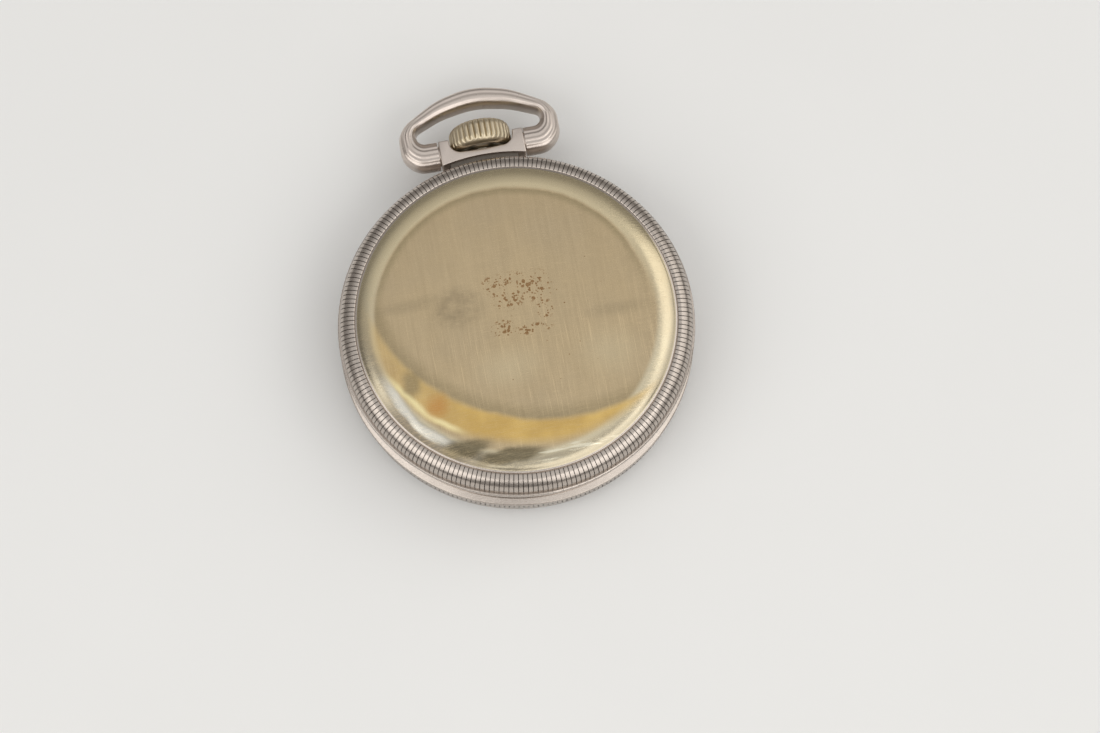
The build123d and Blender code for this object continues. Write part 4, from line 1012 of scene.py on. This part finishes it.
def bow_stations(bow, face, leg_steps=4, turn_steps=26):
    """Where the bow's section stands on the right half: (origin, bearing, share of the way to the crest)."""
    inset = 1.35 * MM
    rise = 1.4 * MM
    down = -90.0
    leaning = 72.0
    upright = 90.0
    turning = Vector((bow.hole_half_width - inset, (bow.hole_low + bow.hole_corner) / 2))
    crest = Vector((0, turning.y + rise))
    knuckle = Vector((face, turning.y))
    stations = [(knuckle.lerp(turning, part), down) for part in shares(leg_steps)[:-1]]
    stations += [(turning, down + (leaning - down) * part) for part in shares(turn_steps)[:-1]]
    for part in shares(turn_steps):
        stations.append((turning.lerp(crest, part), leaning + (upright - leaning) * part))
    return [(*station, part) for station, part in zip(stations, shares(len(stations) - 1))]


def squared(value, squareness):
    return math.copysign(abs(value) ** (2 / squareness), value)


def bow_section(half_width, half_depth, bow, leg, points=112):
    """A moulded bar's section, (outwards, up): two rolls on the bar that turn into fine lines on the legs.

    The rolls' grooves are (place across the bar, width, depth).
    """
    bar_squareness = 2.8
    leg_softness = 0.3
    squareness = bar_squareness - leg_softness * leg
    margin = 0.04
    sharpness = 2.5
    grooves = ((0.42, 0.09, 1.0), (0.8, 0.07, 0.6))
    section = []
    for step in range(points):
        angle = FULL_TURN * (step + 0.5) / points
        wide = squared(math.cos(angle), squareness)
        deep = squared(math.sin(angle), squareness)
        across = (1 - wide) / 2
        fine = 0.0
        if margin < across < 1 - margin:
            fine = abs(math.cos(math.pi * bow.ridges * across)) ** sharpness
        rolls = sum(depth * math.exp(-((across - middle) / width) ** 2) for middle, width, depth in grooves)
        inset = (bow.leg_ridge * fine * leg + bow.roll_groove * rolls * (1 - leg)) * deep ** 2
        section.append((half_width * wide, (half_depth - inset) * deep))
    return section


class DECKWATCH_OT_bow(bpy.types.Operator):
    """Draws the moulded bow through its stations and studs its ends."""

    bl_idname = "deck_watch.bow"
    bl_label = "Bow"

    def execute(self, context):
        bow = settings("bow")
        gap = 0.2 * MM
        leg_end = 0.55
        leg_fade = 0.2
        face = high("pendant").x + gap
        half_depth = (high("bow").z - low("bow").z) / 2
        outer, inner = bow_outlines(bow, face)
        rings = []
        for origin, bearing, part in bow_stations(bow, face):
            out = Vector((math.cos(math.radians(bearing)), math.sin(math.radians(bearing))))
            near = crossing(origin, out, inner)
            far = crossing(origin, out, outer)
            middle = origin + out * (near + far) / 2
            leg = max(0.0, min(1.0, (leg_end - part) / leg_fade))
            section = bow_section((far - near) / 2, half_depth, bow, leg)
            rings.append([Vector((*(middle + out * outwards), STEM_HEIGHT + up)) for outwards, up in section])
        rings += [[Vector((-point.x, point.y, point.z)) for point in ring] for ring in reversed(rings[:-1])]
        piece = begin("moulded_bow", bpy.ops.mesh.primitive_circle_add, vertices=len(rings[0]), radius=MM)
        mesh = bmesh.from_edit_mesh(piece.data)
        for vertex, place in zip(mesh.verts, rings[0]):
            vertex.co = place
        bmesh.update_edit_mesh(piece.data)
        bpy.ops.mesh.select_mode(type="EDGE")
        select_all()
        for before, ring in zip(rings, rings[1:]):
            bpy.ops.mesh.extrude_edges_move()
            mesh = bmesh.from_edit_mesh(piece.data)
            places = {self.key(place): target for place, target in zip(before, ring)}
            for vertex in mesh.verts:
                if vertex.select:
                    vertex.co = places[self.key(vertex.co)]
            bmesh.update_edit_mesh(piece.data)
        for side in (1, -1):
            select(piece, lambda vertex: abs(vertex.co.x - side * face) < TIGHT)
            bpy.ops.mesh.edge_face_add()
        close_up(piece, smooth_angle=40)
        pivot = (low("bow").y + bow.hole_low) / 2
        for side in (1, -1):
            stud = begin("stud", bpy.ops.mesh.primitive_cylinder_add, vertices=48, radius=bow.stud_radius,
                         depth=2 * bow.stud_length)
            bpy.ops.transform.rotate(value=math.pi / 2, orient_axis="Y")
            bpy.ops.transform.translate(value=(side * face, pivot, STEM_HEIGHT))
            finish_edit()
            join_up(piece, stud)
        settle(piece, "bow", "bow_metal", nickel_finish("bow"), "bow")
        return {"FINISHED"}

    @staticmethod
    def key(place, grain=0.02 * TIGHT):
        """A place as whole grains, by which a copied vertex is found again."""
        return tuple(round(value / grain) for value in place)


def apply_modifier(piece, kind, **options):
    """Adds a modifier to a piece alone, and applies it."""
    choose(piece)
    made = piece.modifiers.new("shape", kind)
    for key, value in options.items():
        setattr(made, key, value)
    bpy.ops.object.modifier_apply(modifier=made.name)


def cut_away(piece, cutter):
    """Cuts one closed solid out of another, and deletes the cutter."""
    apply_modifier(piece, "BOOLEAN", operation="DIFFERENCE", solver="EXACT", object=cutter)
    bpy.data.objects.remove(cutter)


def boxed(name, lowest, highest):
    """A box between two corners."""
    piece = begin(name, bpy.ops.mesh.primitive_cube_add, size=1.0)
    bpy.ops.transform.resize(value=highest - lowest, center_override=(0, 0, 0))
    bpy.ops.transform.translate(value=(lowest + highest) / 2)
    finish_edit()
    return piece


def cut_round(piece, radius, depth=20 * MM):
    """Cuts an upright round solid about the watch's axis out of a piece."""
    cutter = begin("case_cut", bpy.ops.mesh.primitive_cylinder_add, vertices=360, radius=radius, depth=depth)
    bpy.ops.transform.translate(value=UP * STEM_HEIGHT)
    finish_edit()
    cut_away(piece, cutter)


class DECKWATCH_OT_pendant(bpy.types.Operator):
    """Cuts the pendant: two ears, a rounded cut for the crown and a foot that follows the case."""

    bl_idname = "deck_watch.pendant"
    bl_label = "Pendant"

    def execute(self, context):
        bow = settings("bow")
        lowest = low("pendant")
        highest = high("pendant")
        over = MM
        under_case = 2 * MM
        neck_drop = 0.35 * MM
        piece = boxed("pendant_block", lowest, highest)
        cutter = boxed(
            "crown_cut",
            Vector((-bow.cut_half_width, bow.cut_floor, lowest.z - over)),
            Vector((bow.cut_half_width, highest.y + over, highest.z + over)),
        )
        bpy.ops.object.mode_set(mode="EDIT")
        bpy.ops.mesh.select_mode(type="EDGE")
        bpy.ops.mesh.select_all(action="DESELECT")
        mesh = bmesh.from_edit_mesh(cutter.data)
        for edge in mesh.edges:
            start, end = [vertex.co for vertex in edge.verts]
            if (start - end).xy.length < TIGHT and start.y < bow.cut_floor + TIGHT:
                edge.select_set(True)
        bmesh.update_edit_mesh(cutter.data)
        bpy.ops.mesh.bevel(offset=bow.cut_corner, segments=10, affect="EDGES")
        finish_edit()
        cut_away(piece, cutter)
        cut_round(piece, bow.foot_radius)
        sharp = {"limit_method": "ANGLE", "angle_limit": math.radians(30)}
        apply_modifier(piece, "BEVEL", width=bow.edge_round, segments=3, **sharp)
        bpy.ops.object.shade_smooth_by_angle(angle=math.radians(40))
        neck = boxed(
            "pendant_neck",
            Vector((-bow.neck_half_width, bow.neck_foot - under_case, STEM_HEIGHT - bow.neck_half_depth)),
            Vector((bow.neck_half_width, bow.cut_floor - neck_drop, STEM_HEIGHT + bow.neck_half_depth)),
        )
        cut_round(neck, bow.neck_foot)
        # Painted shade: the neck's dark finish stands in for the shadow under the pendant.
        dress(neck, plain_metal("dulled nickel", tuple(settings("finish").grime), 0.45))
        piece.data.materials.append(nickel_finish("bow"))
        join_up(piece, neck)
        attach(piece, "case")
        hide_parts("pendant")
        return {"FINISHED"}


# The dial's print

def laid_on(parts, centre, height):
    """Joins flat parts drawn about the middle, and lays them at a place and a height."""
    piece = join_up(*parts)
    bpy.ops.object.mode_set(mode="EDIT")
    select_all()
    bpy.ops.transform.translate(value=(centre.x, centre.y, height))
    finish_edit()
    return piece


def printed_track(name, centre, height, radius, tick, dial):
    """A printed track: two rings with sixty ticks between them, each fifth one wider."""
    wide = 2.4
    parts = []
    for place in (radius, radius - tick):
        parts.append(begin(name, bpy.ops.mesh.primitive_circle_add, vertices=180, radius=place))
        bpy.ops.mesh.extrude_edges_move()
        keep = 1 - dial.line / place
        bpy.ops.transform.resize(value=(keep, keep, 1), center_override=(0, 0, 0))
        finish_edit()
    for step in range(60):
        width = dial.line * (wide if step % 5 == 0 else 1)
        parts.append(begin(name, bpy.ops.mesh.primitive_plane_add, size=1.0))
        bpy.ops.transform.resize(value=(width, tick, 1))
        bpy.ops.transform.translate(value=(0, radius - tick / 2, 0))
        bpy.ops.transform.rotate(value=FULL_TURN * step / 60, orient_axis="Z", center_override=(0, 0, 0))
        finish_edit()
    return laid_on(parts, centre, height)


def numeral(hour, dial):
    """A printed numeral, upright and readable from the dial's side."""
    bpy.ops.object.select_all(action="DESELECT")
    bpy.ops.object.text_add()
    written = bpy.context.object
    written.data.body = str(hour)
    written.data.size = dial.numeral_size
    written.data.align_x = "CENTER"
    written.data.align_y = "CENTER"
    written.rotation_euler = (0, math.pi, 0)
    around = FULL_TURN * hour / 12
    written.location = (-dial.numeral_radius * math.sin(around), dial.numeral_radius * math.cos(around), 0)
    bpy.ops.object.convert(target="MESH")
    bpy.ops.object.transform_apply(location=True, rotation=True, scale=True)
    return bpy.context.object


class DECKWATCH_OT_print(bpy.types.Operator):
    """Prints the dial: hour numerals, the minute track and the seconds track."""

    bl_idname = "deck_watch.print"
    bl_label = "Dial's print"

    def execute(self, context):
        dial = settings("dial")
        face = low("dial").z - dial.ink
        sunk = face + dial.small_sink
        small = (low("fourth_wheel") + high("fourth_wheel")) / 2
        middle = Vector((0, 0, 0))
        piece = join_up(
            printed_track("minute_track", middle, face, dial.track_radius, dial.track_tick, dial),
            printed_track("seconds_track", small, sunk, dial.small_radius, dial.small_tick, dial),
            laid_on([numeral(hour, dial) for hour in range(1, 13) if hour != 6], middle, face),
        )
        piece.name = "dial_print"
        bpy.ops.object.mode_set(mode="EDIT")
        bpy.ops.mesh.select_mode(type="FACE")
        select_all()
        bpy.ops.mesh.extrude_region_move(TRANSFORM_OT_translate={"value": UP * dial.ink})
        select_all()
        bpy.ops.mesh.normals_make_consistent(inside=False)
        finish_edit()
        settle(piece, "case", "blued_steel", smooth_paint("black print", (0.015, 0.015, 0.015), 0.4))
        return {"FINISHED"}


# The engineered parts that are shown as they are

class DECKWATCH_OT_carried(bpy.types.Operator):
    """Finishes every engineered part that is shown as it is."""

    bl_idname = "deck_watch.carried"
    bl_label = "Carried-over parts"

    def execute(self, context):
        slots = {part["node"]: part["material_slot"] for part in frame["record"]["subparts"]}
        finishes = {
            "case_rim": nickel_finish("rim"),
            "case_back": back_finish(),
            "bow_metal": nickel_finish("bow"),
            "crown_metal": nickel_finish("crown"),
            "crystal": clear_glass(),
            "gasket": smooth_paint("black rubber", (0.03, 0.03, 0.03), 0.6),
            "dial_enamel": smooth_paint("white enamel", (0.86, 0.85, 0.80), 0.2),
            "blued_steel": plain_metal("blued steel", (0.03, 0.06, 0.22), 0.2),
            "nickel_plate": damascened("damascened nickel", (0.66, 0.64, 0.59)),
            "jewel": smooth_paint("ruby", (0.55, 0.02, 0.08), 0.08),
            "gilt_brass": plain_metal("gilt brass", (0.80, 0.58, 0.22), 0.22),
            "spring_steel": plain_metal("spring steel", (0.12, 0.14, 0.20), 0.25),
            "steel": plain_metal("polished steel", (0.52, 0.52, 0.53), 0.2),
        }
        for name, piece in frame["nodes"].items():
            dress(piece, finishes[slots[name]])
        return {"FINISHED"}


# The stage

def placed(name, data, place, aim):
    """A lamp or a camera at a place, looking at an aim."""
    made = bpy.data.objects.new(name, data)
    bpy.context.scene.collection.objects.link(made)
    made.location = place
    made.rotation_euler = (aim - place).to_track_quat("-Z", "Y").to_euler()
    return made


def away(azimuth, elevation):
    """The direction to a place that stands at an azimuth and an elevation."""
    flat = math.cos(elevation)
    return Vector((math.sin(azimuth) * flat, -math.cos(azimuth) * flat, math.sin(elevation)))


def studio():
    """A world that is light above and dim at the sides."""
    world = bpy.data.worlds.new("studio")
    bpy.context.scene.world = world
    world.use_nodes = True
    tree = world.node_tree
    tree.nodes.clear()
    place = node(tree, "TexCoord").outputs["Generated"]
    height = node(tree, "SeparateXYZ", {0: place}).outputs["Z"]
    sky = ramp(
        height, (0.0, (0.27, 0.26, 0.25)), (0.55, (0.33, 0.32, 0.31)), (0.88, (0.76, 0.75, 0.74)),
        (1.0, (0.90, 0.90, 0.89)),
    )
    background = node(tree, "Background", {"Color": sky, "Strength": 0.95})
    node(tree, "OutputWorld", {"Surface": background.outputs[0]})


class DECKWATCH_OT_stage(bpy.types.Operator):
    """Lays the floor, hangs the lamps and places the camera."""

    bl_idname = "deck_watch.stage"
    bl_label = "Stage"

    def execute(self, context):
        view = settings("view")
        scene = bpy.context.scene
        scene.view_settings.view_transform = "Standard"
        floor = begin("floor", bpy.ops.mesh.primitive_plane_add, size=6.0)
        finish_edit()
        finish, shader, place = new_finish("pale floor", Roughness=0.9)
        base = tuple(settings("finish").floor)
        wire(shader, {"Base Color": ramp(noise(place, 0.02), (0.3, base), (0.7, toned(base, 0.985)))})
        dress(floor, finish)
        studio()

        centre = UP * high("case_middle").z
        for name, bearing, elevation, width, breadth, level, tint in (
            ("left softbox", -62, 43, 0.90, 0.70, 1.25, (1.0, 0.99, 0.97)),
            ("front softbox", 33, 43, 0.80, 0.70, 1.25, (1.0, 0.99, 0.97)),
            ("right softbox", 100, 40, 0.80, 0.70, 0.85, (1.0, 0.98, 0.94)),
        ):
            lamp = bpy.data.lights.new(name, "AREA")
            lamp.shape = "RECTANGLE"
            lamp.size = width
            lamp.size_y = breadth
            lamp.energy = math.pi * width * breadth * level * view.lamp_strength
            lamp.color = tint
            out = away(math.radians(bearing), math.radians(elevation))
            placed(name, lamp, centre + out * view.lamp_distance, centre)

        back = away(view.azimuth, view.elevation)
        right = Vector((math.cos(view.azimuth), math.sin(view.azimuth), 0))
        data = bpy.data.cameras.new("camera")
        data.sensor_width = 36.0
        data.lens = data.sensor_width * view.distance / view.frame_width
        data.clip_start = MM
        aim = centre + right * view.aside - back.cross(right) * view.above
        scene.camera = placed("camera", data, aim + back * view.distance, aim)
        return {"FINISHED"}


# The panel and the run

OPERATORS = (
    DECKWATCH_OT_carried,
    DECKWATCH_OT_back,
    DECKWATCH_OT_bezel,
    DECKWATCH_OT_crown,
    DECKWATCH_OT_bow,
    DECKWATCH_OT_pendant,
    DECKWATCH_OT_print,
    DECKWATCH_OT_stage,
)
GROUPS = {
    "deck_watch_case": DeckWatchCase,
    "deck_watch_crown": DeckWatchCrown,
    "deck_watch_bow": DeckWatchBow,
    "deck_watch_dial": DeckWatchDial,
    "deck_watch_finish": DeckWatchFinish,
    "deck_watch_view": DeckWatchView,
}


class DECKWATCH_PT_panel(bpy.types.Panel):
    """Lists the watch's pieces and their settings."""

    bl_label = "Deck watch"
    bl_space_type = "VIEW_3D"
    bl_region_type = "UI"
    bl_category = "Deck watch"

    def draw(self, context):
        for operator in OPERATORS:
            self.layout.operator(operator.bl_idname)
        for name, group in GROUPS.items():
            for setting in group.__annotations__:
                self.layout.prop(getattr(context.scene, name), setting)


def register():
    for name, group in GROUPS.items():
        bpy.utils.register_class(group)
        setattr(bpy.types.Scene, name, bpy.props.PointerProperty(type=group))
    for operator in (*OPERATORS, DECKWATCH_PT_panel):
        bpy.utils.register_class(operator)


def unregister():
    for operator in (DECKWATCH_PT_panel, *OPERATORS):
        bpy.utils.unregister_class(operator)
    for name, group in GROUPS.items():
        delattr(bpy.types.Scene, name)
        bpy.utils.unregister_class(group)


def main():
    register()
    for operator in OPERATORS:
        family, call = operator.bl_idname.split(".")
        getattr(getattr(bpy.ops, family), call)()


if __name__ == "__main__":
    main()
